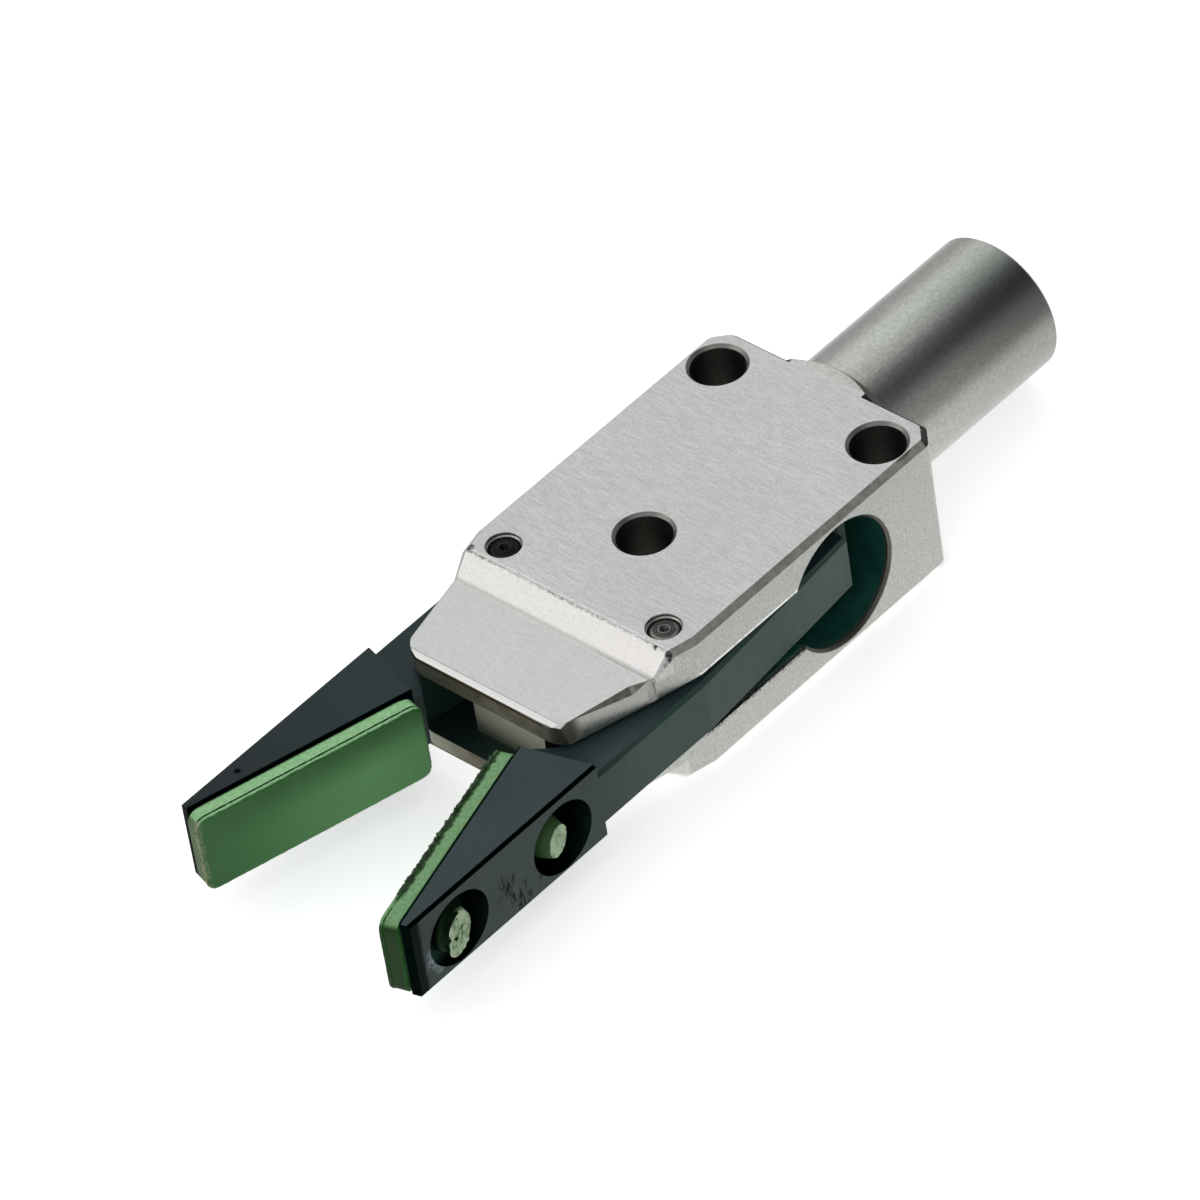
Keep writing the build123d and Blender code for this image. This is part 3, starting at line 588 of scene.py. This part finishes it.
def jaw_black():
    """Blackened steel, satin, with rubbed faces, scratches and smears, and painted shade on its edges, ends
    and inner faces.
    """
    material, g, shader, place, normal = surface(
        "blackened_steel", Specular_IOR_Level=0.33, Specular_Tint=(0.5, 0.5, 0.5, 1),
    )
    tint = JAW_TINT
    z = g.parts(place)[2]
    nz = g.parts(normal)[2]
    finger = g.group(FINGER, Vector=place, Normal=normal)
    u, v, right = finger["U"], finger["V"], finger["Right"]
    blotch = blotches(g, place, 7.0)
    fine = blotches(g, place, 0.5)
    top = g.rise(nz, 0.6, 0.95)
    head = g.rise(u, HEAD_START_U - 0.1, HEAD_START_U)

    side_colour = g.mix(blotch, tint.side_dark, tint.side_light)
    side_colour = g.mix(g.rise(u, 15.0, 8.0), side_colour, tint.neck)
    # Painted highlight, soft and grey, towards the rear of the arm
    side_colour = g.mix(g.times(g.rise(u, -8.0, -20.0), 0.7), side_colour, tint.arm_rear_highlight)
    side_colour = g.mix(g.times(head, g.rise(u, 22.0, 36.0), 0.4), side_colour, tint.head_front)
    # Painted shade, near black, at the tip
    side_colour = g.mix(g.times(g.rise(u, 35.4, 36.4), 0.8), side_colour, tint.tip)
    # Tops take their own colours, apart from the sides; painted shade on the left top, near black towards the
    # front
    right_top = g.mix(blotch, tint.right_top_dark, tint.right_top_light)
    left_top = g.mix(g.rise(u, 34.0, 16.0), tint.left_top_front_shade, tint.left_top_rear_shade)
    colour = g.mix(top, side_colour, g.mix(right, left_top, right_top))
    colour = g.mix(g.times(fine, 0.10), colour, tint.rubbed)

    # Scratches, gouges on the outer side of the right head and smears beside its front recess
    scratch = g.group(SCRATCH, Vector=place, Amount=0.25, Size=1.2)["Mask"]
    colour = g.mix(g.times(scratch, 0.2), colour, tint.scratch)
    outside = g.rise(finger["Facing V"], 0.6, 0.9)
    place_uvz = g.vector(u, v, z)
    torn = g.noise(g.scaled(place, (2.2, 2.2, 1.6)), 1.0, 4.0, 0.7)
    lean, squeeze = 0.12, 0.3
    torn_u = g.plus(u, g.times(g.math("SUBTRACT", torn, 0.5), 1.6), g.times(z, lean))
    on_face = g.vector(torn_u, 0.0, g.times(z, squeeze))
    marks = (
        (26.7, 0.4, 0.26), (26.1, -0.7, 0.34), (25.8, -2.2, 0.22), (25.1, -2.9, 0.34), (25.5, -0.2, 0.2),
        (24.0, -3.2, 0.26), (24.7, -3.6, 0.2), (22.6, -2.6, 0.2), (24.4, -1.6, 0.2), (27.4, -1.4, 0.16),
    )
    gouges = g.either(*(
        g.spot(on_face, (at_u + at_z * lean, 0, at_z * squeeze), wide) for at_u, at_z, wide in marks
    ))
    strokes = g.noise(g.scaled(place, (3.6, 3.6, 0.7)), 1.0, 3.0, 0.6)
    gouges = g.times(gouges, outside, right, g.rise(strokes, 0.42, 0.54), g.rise(torn, 0.30, 0.40), 0.75)
    colour = g.mix(g.times(gouges, 0.95), colour, tint.gouge)
    smears = g.either(
        g.spot(place_uvz, (35.5, -6.2, -0.5), 0.65), g.spot(place_uvz, (35.2, -6.1, -1.5), 0.95),
        g.spot(place_uvz, (34.7, -6.0, -2.7), 0.7),
    )
    smears = g.times(smears, right, g.rise(torn, 0.40, 0.50))
    colour = g.mix(g.times(smears, 0.9), colour, tint.smear)

    # Near-black places: painted shade on the end face, the tip, the broken long edges, the inner face and the
    # pad's seat line; also the recesses, a dimple and the gouges
    recess = g.either(*(
        g.rise(g.length(g.math("SUBTRACT", u, at), g.math("SUBTRACT", z, STUD_Z)), RECESS_R + 0.05, RECESS_R)
        for at in STUD_U
    ))
    end = g.times(g.rise(u, 35.0, 35.5), g.rise(finger["Facing U"], 0.6, 0.8))
    broken = g.times(head, g.rise(z, HEAD_TOP - 0.32, HEAD_TOP - 0.28), g.band(nz, 0.3, 0.9, 0.05))
    seat_line = g.times(head, top, g.rise(v, SEAT_V + 0.14, SEAT_V + 0.1))
    dimple = g.times(g.other(right), g.spot(place_uvz, (31.5, -6.0, HEAD_TOP), 0.3))
    inner = g.times(head, g.rise(finger["Facing V"], -0.7, -0.9))
    tip = g.times(outside, g.rise(g.plus(u, g.times(torn, 0.5)), 36.45, 36.85), 0.85)
    shade_and_marks_black = g.either(end, tip, broken, seat_line, dimple, inner, gouges)
    colour = g.mix(recess, colour, tint.recess)
    colour = g.mix(shade_and_marks_black, colour, tint.shade_and_marks_black)
    g.put(shader.inputs["Base Color"], colour)
    g.put(shader.inputs["Metallic"], g.either(shade_and_marks_black, recess))
    g.put(shader.inputs["Roughness"], g.blend(fine, 0.38, 0.46))
    height = g.math("SUBTRACT", g.times(fine, 0.5), gouges)
    g.put(shader.inputs["Normal"], g.bump(height, 0.2, 0.00003))
    return material


def pad_rubber():
    """Green rubber: satin gripping face painted lit towards its rear and bottom, moulded edges painted
    lighter as lit, painted shade on the right end and the ragged flash, and pale cut studs.
    """
    material, g, shader, place, normal = surface("green_rubber", Specular_IOR_Level=0.2)
    tint = PAD_TINT
    z = g.parts(place)[2]
    nz = g.parts(normal)[2]
    finger = g.group(FINGER, Vector=place, Normal=normal)
    u, v, right = finger["U"], finger["V"], finger["Right"]
    blotch = blotches(g, place, 6.0)
    fine = blotches(g, place, 0.4)

    lit = g.times(g.rise(u, 39.0, 18.0), g.rise(z, 3.6, -0.8))
    face = g.mix(lit, tint.face_dark, tint.face_lit)
    face = g.mix(g.times(blotch, 0.15), face, tint.face_blotch)
    # Tops painted lighter as lit, the left top lighter than the right
    left_top = g.mix(fine, tint.left_top_dark, tint.left_top_light)
    right_top = g.mix(fine, tint.right_top_dark, tint.right_top_light)
    colour = g.mix(g.rise(nz, 0.3, 0.9), face, g.mix(right, left_top, right_top))
    # Painted shade on the end of the right pad, near black
    end = g.rise(finger["Facing U"], 0.6, 0.9)
    end_colour = g.mix(right, tint.left_end, tint.right_end_shade)
    colour = g.mix(end, colour, end_colour)

    # Moulding flash along the gripping face: painted shade on a ragged band of the right pad, and a thin
    # painted shade line behind the lip of the left pad
    ragged = g.noise(g.scaled(place, (1.3, 1.3, 1.3)), 1.0, 4.0, 0.7)
    upper = g.rise(z, PAD_TOP - 0.35, PAD_TOP - 0.2)
    past = g.plus(v, g.times(g.math("SUBTRACT", ragged, 0.5), 0.9))
    flash = g.times(right, upper, g.rise(past, -8.35, -8.5), g.band(u, 16.0, 33.5, 1.5))
    flash_colour = g.mix(g.rise(ragged, 0.4, 0.6), tint.flash_shade_dark, tint.flash_shade_light)
    colour = g.mix(g.times(flash, 0.92), colour, flash_colour)
    line_v = g.plus(-8.76, g.times(g.math("SUBTRACT", ragged, 0.5), 0.25))
    line = g.times(g.other(right), upper, g.rise(g.absolute(g.math("SUBTRACT", v, line_v)), 0.17, 0.08))
    line = g.times(line, g.rise(ragged, 0.36, 0.46))
    colour = g.mix(line, colour, tint.line)
    rind = g.times(g.other(right), g.rise(u, PAD_END - 0.6, PAD_END - 0.3), g.near(v, -8.85, 0.5))
    rind = g.times(rind, g.rise(ragged, 0.38, 0.52), 0.8)
    colour = g.mix(rind, colour, tint.rind)

    # Studs: dark shaft, pale cut end
    stud = g.rise(v, SEAT_V + 0.02, SEAT_V + 0.1)
    front = g.rise(u, 25.0, 26.0)
    shaft = g.mix(front, tint.rear_shaft, tint.front_shaft)
    cut_at = g.blend(front, -1.75, -4.95)
    past_cut = g.rise(v, g.math("SUBTRACT", cut_at, 0.1), cut_at)
    cut = g.times(stud, g.rise(finger["Facing V"], 0.35, 0.6), past_cut)
    cut_dark = g.mix(front, tint.rear_cut_dark, tint.front_cut_dark)
    cut_colour = g.mix(g.rise(ragged, 0.36, 0.56), cut_dark, tint.cut_light)
    colour = g.mix(stud, colour, shaft)
    colour = g.mix(cut, colour, cut_colour)
    g.put(shader.inputs["Base Color"], colour)
    g.put(shader.inputs["Metallic"], g.times(stud, front, g.other(cut)))
    satin = g.blend(fine, 0.36, 0.42)
    g.put(shader.inputs["Roughness"], g.blend(g.either(g.rise(nz, 0.3, 0.9), stud, end), satin, 0.65))
    height = g.plus(g.times(fine, 0.4), g.times(g.either(flash, cut), ragged, 2.0))
    g.put(shader.inputs["Normal"], g.bump(height, 0.2, 0.00005))
    return material


def pin_steel():
    """Dark ground dowel with turned rings on its crowned ends."""
    material, g, shader, place, _ = surface("dark_dowel_steel", metallic=1.0)
    tint = PIN_TINT
    x, y, z = g.parts(place)
    radius = g.length(g.math("SUBTRACT", x, PIVOT[0]), g.math("SUBTRACT", g.absolute(y), PIVOT[1]))
    rings = g.noise(g.vector(g.times(radius, 4.5), 0.0, 0.0), 1.0, 2.0, 0.5)
    swirl = g.either(
        g.times(g.rise(rings, 0.35, 0.65), 0.4), g.near(radius, 1.12, 0.24),
        g.times(g.near(radius, 0.5, 0.16), 0.8), g.times(g.near(radius, 0.0, 0.14), 0.8),
    )
    blotch = blotches(g, place, 0.6)
    colour = g.mix(swirl, tint.ring_dark, tint.ring_light)
    colour = g.mix(g.times(blotch, 0.4), colour, tint.blotch)
    # The left pin is made much darker
    left = g.rise(y, 0.01, -0.01)
    colour = g.mix(g.times(left, 0.93), colour, tint.left_pin_darker)
    ends = g.rise(g.absolute(z), HALF_H - 0.7, HALF_H - 0.6)
    colour = g.mix(ends, tint.shaft, colour)
    g.put(shader.inputs["Base Color"], colour)
    g.put(shader.inputs["Roughness"], g.blend(swirl, 0.45, 0.32))
    g.put(shader.inputs["Normal"], g.bump(rings, 0.5, 0.00003))
    return material


def plain_metal(name, dark, light, rough):
    """Turned or drawn metal of the small pieces."""
    material, g, shader, place, _ = surface(name, metallic=1.0)
    lines = g.group(TURNED, Vector=place)
    blotch = blotches(g, place, 2.0)
    colour = g.mix(lines["Tone"], dark, light)
    colour = g.mix(g.times(blotch, 0.3), colour, tuple(0.7 * c for c in dark[:3]) + (1,))
    g.put(shader.inputs["Base Color"], colour)
    g.put(shader.inputs["Roughness"], g.blend(lines["Tone"], rough + 0.06, rough - 0.04))
    g.put(shader.inputs["Normal"], g.bump(lines["Height"], 0.3, 0.00002))
    return material


def plain_polymer(name, dark, light, rough):
    """Moulded rubber or plastic of the small pieces."""
    material, g, shader, place, _ = surface(name)
    fine = blotches(g, place, 0.6)
    g.put(shader.inputs["Base Color"], g.mix(fine, dark, light))
    g.put(shader.inputs["Roughness"], g.blend(fine, rough - 0.05, rough + 0.05))
    g.put(shader.inputs["Normal"], g.bump(fine, 0.1, 0.00002))
    return material


STEEL = housing_steel()
BLACK = jaw_black()
RUBBER = pad_rubber()
DOWEL = pin_steel()
ROD = plain_metal("hardened_rod_steel", (0.22, 0.22, 0.215, 1), (0.36, 0.36, 0.35, 1), 0.35)
BRASS = plain_metal("turned_brass", (0.52, 0.39, 0.17, 1), (0.68, 0.52, 0.26, 1), 0.34)
SPRING = plain_metal("spring_wire", (0.2, 0.2, 0.21, 1), (0.36, 0.36, 0.37, 1), 0.36)
ALLOY = plain_metal("turned_alloy", (0.55, 0.55, 0.57, 1), (0.7, 0.7, 0.72, 1), 0.33)
BRONZE = plain_metal("sintered_bronze", (0.3, 0.19, 0.09, 1), (0.45, 0.3, 0.15, 1), 0.5)
SEAL = plain_polymer("seal_rubber_black", (0.012, 0.012, 0.012, 1), (0.03, 0.03, 0.03, 1), 0.55)
GUIDE = plain_polymer("guide_plastic_ivory", (0.6, 0.57, 0.48, 1), (0.68, 0.65, 0.56, 1), 0.5)

for material, names in (
    (STEEL, ("housing",)),
    (BLACK, ("jaw_left", "jaw_right", "wedge")),
    (RUBBER, ("pad_left", "pad_right")),
    (DOWEL, ("pivot_pin_left", "pivot_pin_right")),
    (ROD, ("piston_rod", "piston_nut", "wedge_pin")),
    (SPRING, ("return_spring", "opening_spring", "plug_ring")),
    (SEAL, ("plug_seal", "piston_seal")),
    (BRASS, ("end_plug",)),
    (ALLOY, ("piston",)),
    (GUIDE, ("guide_ring",)),
    (BRONZE, ("rod_bush",)),
):
    for name in names:
        nodes[name].data.materials.clear()
        nodes[name].data.materials.append(material)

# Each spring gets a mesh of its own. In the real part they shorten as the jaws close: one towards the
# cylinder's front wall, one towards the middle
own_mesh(nodes["return_spring"])
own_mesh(nodes["opening_spring"])


# Pads, modelled on the closed finger and then turned with it

def point(u, v, z):
    return Vector((u, v, z)) * MM


def pick(obj, kind, test):
    """In edit mode, selects the vertices, edges or faces whose middle passes the test, in millimetres."""
    bpy.context.tool_settings.mesh_select_mode = tuple(kind == k for k in ("verts", "edges", "faces"))
    bpy.ops.mesh.select_all(action="DESELECT")
    mesh = bmesh.from_edit_mesh(obj.data)
    for part in getattr(mesh, kind):
        corners = [part.co] if kind == "verts" else [corner.co for corner in part.verts]
        middle = sum(corners, Vector()) / len(corners) / MM
        part.select_set(bool(test(middle, part)))
    bmesh.update_edit_mesh(obj.data)


def extrude(move):
    bpy.ops.mesh.extrude_region_move(TRANSFORM_OT_translate={"value": tuple(move)})


def resize(value, centre):
    bpy.ops.transform.resize(value=value, center_override=centre)


def flat_start(name, add, u, v, z, **settings):
    """A flat primitive that faces along V, with its edit mode open and all of it selected."""
    bpy.ops.object.select_all(action="DESELECT")
    add(location=point(u, v, z), rotation=(math.radians(90), 0, 0), **settings)
    obj = bpy.context.object
    obj.name = name
    bpy.ops.object.transform_apply(location=True, rotation=True, scale=True)
    bpy.ops.object.mode_set(mode="EDIT")
    bpy.ops.mesh.select_all(action="SELECT")
    return obj


def shift_picked(obj, chance, amount, draw, by_place=False):
    """Moves single picked vertices by up to the amount each way, as torn rubber stands.

    Vertices that an extrude of many faces made have no fixed order, so by_place takes them by where they are.
    """
    mesh = bmesh.from_edit_mesh(obj.data)
    picked = [vertex for vertex in mesh.verts if vertex.select]
    if by_place:
        picked.sort(key=lambda vertex: tuple(round(c / MM, 4) for c in vertex.co))
    for vertex in picked:
        if draw.random() < chance:
            vertex.co += Vector(tuple(draw.uniform(-1, 1) * a * MM for a in amount))
    bmesh.update_edit_mesh(obj.data)


def pad_plate(name, gap, lip, roughness, draw):
    """The rubber plate: undercut at the finger, with a groove and a ragged lip round its gripping face."""
    undercut, groove, lip_end = 0.30, 1.48, 1.90
    mid_u = (PAD_START + PAD_END) / 2
    length = PAD_END - PAD_START
    obj = flat_start(name, bpy.ops.mesh.primitive_plane_add, mid_u, SEAT_V, PAD_Z, size=MM)
    centre = point(mid_u, SEAT_V, PAD_Z)
    resize((length, 1, PAD_H), centre)
    bpy.ops.mesh.bevel(affect="VERTICES", offset=PAD_CORNER * MM, segments=8)
    for longer_than, cuts in ((8, 89), (3, 29)):
        pick(obj, "edges", lambda m, e: e.calc_length() > longer_than * MM)
        bpy.ops.mesh.subdivide(number_cuts=cuts)
    bpy.ops.mesh.select_all(action="SELECT")

    # Each ring: depth from the seat and how far its outline stands out
    rings = (
        (gap, -undercut), (gap + 0.06, -undercut), (gap + 0.14, 0.0), (groove, 0.0), (groove + 0.06, -0.09),
        (groove + 0.14, -0.09), (groove + 0.19, lip), (lip_end - 0.10, lip), (lip_end, lip * 0.3),
        (lip_end + 0.07, -0.07), (lip_end + 0.10, -0.18), (lip_end + 0.10, -0.26),
    )
    last_depth, last_out = 0.0, -undercut
    resize((1 - 2 * undercut / length, 1, 1 - 2 * undercut / PAD_H), centre)
    for depth, out in rings:
        extrude((0, -(depth - last_depth) * MM, 0))
        wide = (length + 2 * out) / (length + 2 * last_out)
        tall = (PAD_H + 2 * out) / (PAD_H + 2 * last_out)
        resize((wide, 1, tall), point(mid_u, SEAT_V - depth, PAD_Z))
        last_depth, last_out = depth, out

    pick(obj, "verts", lambda m, v: SEAT_V - lip_end < m.y < SEAT_V - groove - 0.02)
    shift_picked(obj, 0.8, (roughness, roughness, roughness), draw)
    return obj


def raise_flash(obj, draw):
    """The torn strip that stands up along the face of the right pad."""
    pick(obj, "faces", lambda m, f: f.normal.z > 0.6 and -1.8 < m.y - SEAT_V < -1.58 and 16 < m.x < 34)
    extrude(point(0, -0.04, 0.07))
    extrude(point(0, -0.06, 0.05))
    pick(obj, "verts", lambda m, v: m.z > PAD_TOP + 0.06)
    shift_picked(obj, 0.8, (0.08, 0.10, 0.05), draw, by_place=True)
    shift_picked(obj, 0.08, (0.05, 0.12, 0.20), draw, by_place=True)


# Rings of the studs: the bead that holds them on the recess floor, then a long rear one and a torn front one
STUD_FOOT = (
    (RECESS_FLOOR, STUD_R, 0, 0), (RECESS_FLOOR + 0.02, 2.3, 0, 0), (RECESS_FLOOR + 0.35, 2.34, 0, 0),
)
REAR_STUD = (
    (RECESS_FLOOR + 0.8, 2.0, 0.05, 0), (-4.0, 1.97, 0.15, 0), (-2.6, 1.9, 0.3, 0), (-1.9, 1.66, 0.45, 0),
    (-1.4, 1.5, 0.5, 0),
)
FRONT_STUD = (
    (RECESS_FLOOR + 0.75, 2.0, 0.1, 0.05), (-4.85, 2.02, 0.3, 0.2), (-4.6, 2.05, 0.42, 0.3),
    (-4.5, 1.85, 0.42, 0.3),
)

# Past this V the torn stud is flattened
FLATTENED_V = -4.9


def stud(name, u, rings, roughness, draw, cut_u=None):
    """A stud that was pulled through the finger and cut. Each ring: V, radius, shift along U, drop.

    With cut_u, its end stops there towards the tip, at a plane that leans with Z.
    """
    start_v = SEAT_V - 0.5
    obj = flat_start(
        name, bpy.ops.mesh.primitive_circle_add, u, start_v, STUD_Z,
        radius=STUD_R * MM, vertices=32, fill_type="NGON",
    )
    at_v, radius, at_u, drop = start_v, STUD_R, 0.0, 0.0
    for new_v, new_radius, new_u, new_drop in rings:
        extrude(point(new_u - at_u, new_v - at_v, drop - new_drop))
        resize((new_radius / radius, 1, new_radius / radius), point(u + new_u, new_v, STUD_Z - new_drop))
        at_v, radius, at_u, drop = new_v, new_radius, new_u, new_drop
    for _ in range(3):
        bpy.ops.mesh.inset(thickness=0.25 * radius * MM)
    pick(obj, "verts", lambda m, v: abs(m.y - at_v) < 0.02)
    shift_picked(obj, 0.9, (roughness * 0.4, roughness, roughness * 0.4), draw)
    if cut_u:
        mesh = bmesh.from_edit_mesh(obj.data)
        for vertex in mesh.verts:
            if vertex.co.y > FLATTENED_V * MM:
                vertex.co.x = min(vertex.co.x, (cut_u - 0.16 * vertex.co.z / MM) * MM)
        bmesh.update_edit_mesh(obj.data)
    return obj


def join(pieces):
    bpy.ops.object.select_all(action="DESELECT")
    for piece in pieces:
        piece.select_set(True)
    bpy.context.view_layer.objects.active = pieces[0]
    bpy.ops.object.join()
    return bpy.context.object


def finish_pad(obj, side, node, body):
    """Turns the pad with its open finger, on the right (1) or mirrored to the left (-1)."""
    bpy.ops.object.select_all(action="DESELECT")
    obj.select_set(True)
    bpy.context.view_layer.objects.active = obj
    obj.scale = (1, side, 1)
    bpy.ops.object.transform_apply(location=True, rotation=True, scale=True)
    obj.rotation_euler = (0, 0, side * OPEN_ANGLE)
    obj.location = (PIVOT[0] * MM, side * PIVOT[1] * MM, 0)
    bpy.ops.object.transform_apply(location=True, rotation=True, scale=True)
    bpy.ops.object.mode_set(mode="EDIT")
    bpy.ops.mesh.select_all(action="SELECT")
    bpy.ops.mesh.remove_doubles(threshold=0.000001)
    bpy.ops.mesh.normals_make_consistent(inside=False)
    bpy.ops.object.mode_set(mode="OBJECT")
    bpy.ops.object.shade_smooth_by_angle(angle=math.radians(35))
    obj.data.materials.append(RUBBER)
    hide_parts(node)
    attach(obj, body)


def pad(side, node, body, gap, lip, roughness, seed):
    draw = random.Random(seed)
    plate = pad_plate(node + "_moulding", gap, lip, roughness, draw)
    if side > 0:
        raise_flash(plate, draw)
    bpy.ops.object.mode_set(mode="OBJECT")
    rear = stud(node + "_rear_stud", STUD_U[0], STUD_FOOT + REAR_STUD, 0.05, draw)
    bpy.ops.object.mode_set(mode="OBJECT")
    front = stud(node + "_front_stud", STUD_U[1], STUD_FOOT + FRONT_STUD, 0.16, draw, cut_u=34.15)
    bpy.ops.object.mode_set(mode="OBJECT")
    finish_pad(join([plate, rear, front]), side, node, body)


pad(1, "pad_right", "jaw_right", gap=0.1, lip=0.03, roughness=0.035, seed=5)
pad(-1, "pad_left", "jaw_left", gap=0.28, lip=0.04, roughness=0.03, seed=11)


# Studio

def studio_floor():
    """A white floor. Metal sees it bright round the object and darker far away, as in a light tent."""
    object_middle, object_half, object_side = 27.0, 50.0, 14.0
    fade_start, fade_end = 8.0, 42.0
    near_glow, far_glow, camera_glow = 1.14, 0.5, 0.58
    bpy.ops.object.select_all(action="DESELECT")
    bpy.ops.mesh.primitive_plane_add(size=8, location=(0, 0, -HALF_H * MM))
    obj = bpy.context.object
    obj.name = "studio_floor"
    material, g, output = new_material("floor_white")
    diffuse = g.node("ShaderNodeBsdfDiffuse")
    diffuse.inputs["Color"].default_value = (0.86, 0.86, 0.86, 1)
    glow = g.node("ShaderNodeEmission")
    mirrored = g.node("ShaderNodeEmission")
    rays = g.node("ShaderNodeLightPath")
    g.put(glow.inputs["Strength"], g.times(rays.outputs["Is Camera Ray"], camera_glow))
    x, y, _ = g.parts(g.scaled(g.node("ShaderNodeTexCoord").outputs["Object"], (1000, 1000, 1000)))
    past_end = g.math("SUBTRACT", g.absolute(g.math("SUBTRACT", x, object_middle)), object_half)
    past_side = g.math("SUBTRACT", g.absolute(y), object_side)
    past = g.either(past_end, past_side)
    g.put(mirrored.inputs["Strength"], g.rise(past, fade_start, fade_end, near_glow, far_glow))
    total = g.node("ShaderNodeAddShader")
    g.put(total.inputs[0], diffuse.outputs[0])
    g.put(total.inputs[1], glow.outputs[0])
    choice = g.node("ShaderNodeMixShader")
    g.put(choice.inputs[0], rays.outputs["Is Glossy Ray"])
    g.put(choice.inputs[1], total.outputs[0])
    g.put(choice.inputs[2], mirrored.outputs[0])
    g.put(output, choice.outputs[0])
    obj.data.materials.append(material)


def dark_flag():
    """A dark card beside and behind the object, seen only in reflections, as photographers use for metal."""
    steps, first, sweep = 24, 88, 120
    fade_start, fade_end = 0.2, 0.7
    low_glow, high_glow = 0.5, 0.06
    centre, radius = Vector((0.02, 0, 0)), 0.9
    foot, top = -HALF_H * MM, radius * math.tan(math.radians(57))
    points, faces = [], []
    for i in range(steps + 1):
        azimuth = math.radians(first + i / steps * sweep)
        for height in (foot, top):
            points.append(centre + Vector((math.cos(azimuth) * radius, math.sin(azimuth) * radius, height)))
        if i:
            k = 2 * i
            faces.append((k - 2, k - 1, k + 1, k))
    mesh = bpy.data.meshes.new("dark_flag")
    mesh.from_pydata([tuple(p) for p in points], [], faces)
    obj = bpy.data.objects.new("dark_flag", mesh)
    bpy.context.scene.collection.objects.link(obj)
    material, g, output = new_material("flag_grey")
    glow = g.node("ShaderNodeEmission")
    height = g.parts(g.node("ShaderNodeTexCoord").outputs["Object"])[2]
    g.put(glow.inputs["Strength"], g.rise(height, fade_start, fade_end, low_glow, high_glow))
    g.put(output, glow.outputs[0])
    mesh.materials.append(material)
    obj.visible_camera = False
    obj.visible_diffuse = False
    obj.visible_shadow = False


def softbox(name, direction, distance, size, radiance):
    """A square light that looks at the object from a direction, with its energy for a radiance."""
    light = bpy.data.lights.new(name, "AREA")
    light.shape = "SQUARE"
    light.size = size
    light.energy = radiance * math.pi * size * size
    obj = bpy.data.objects.new(name, light)
    bpy.context.scene.collection.objects.link(obj)
    way = Vector(direction).normalized()
    obj.location = Vector((0.03, 0, 0)) + way * distance
    obj.rotation_euler = way.to_track_quat("Z", "Y").to_euler()


def world():
    made = bpy.data.worlds.new("studio")
    bpy.context.scene.world = made
    made.use_nodes = True
    background = made.node_tree.nodes["Background"]
    background.inputs["Color"].default_value = (0.97, 1.0, 0.99, 1)
    background.inputs["Strength"].default_value = 0.62


def camera():
    """The camera that was fitted to edges and holes of the photo."""
    data = bpy.data.cameras.new("photo_camera")
    data.sensor_width = SENSOR_MM
    data.lens = FOCAL_PX / PHOTO_PX * SENSOR_MM
    data.clip_start = 0.05
    data.clip_end = 20
    obj = bpy.data.objects.new("photo_camera", data)
    bpy.context.scene.collection.objects.link(obj)
    obj.location = (0.4438460, 0.4560769, 0.5548023)
    obj.rotation_euler = tuple(math.radians(a) for a in (47.743810, 7.034903, 131.606430))
    bpy.context.scene.camera = obj


studio_floor()
dark_flag()
softbox("softbox_top", (-0.45, -0.48, 0.75), distance=0.75, size=0.75, radiance=0.65)
softbox("softbox_front", (0.66, -0.52, 0.54), distance=0.75, size=0.42, radiance=0.9)
world()
camera()
bpy.context.scene.view_settings.view_transform = "Standard"
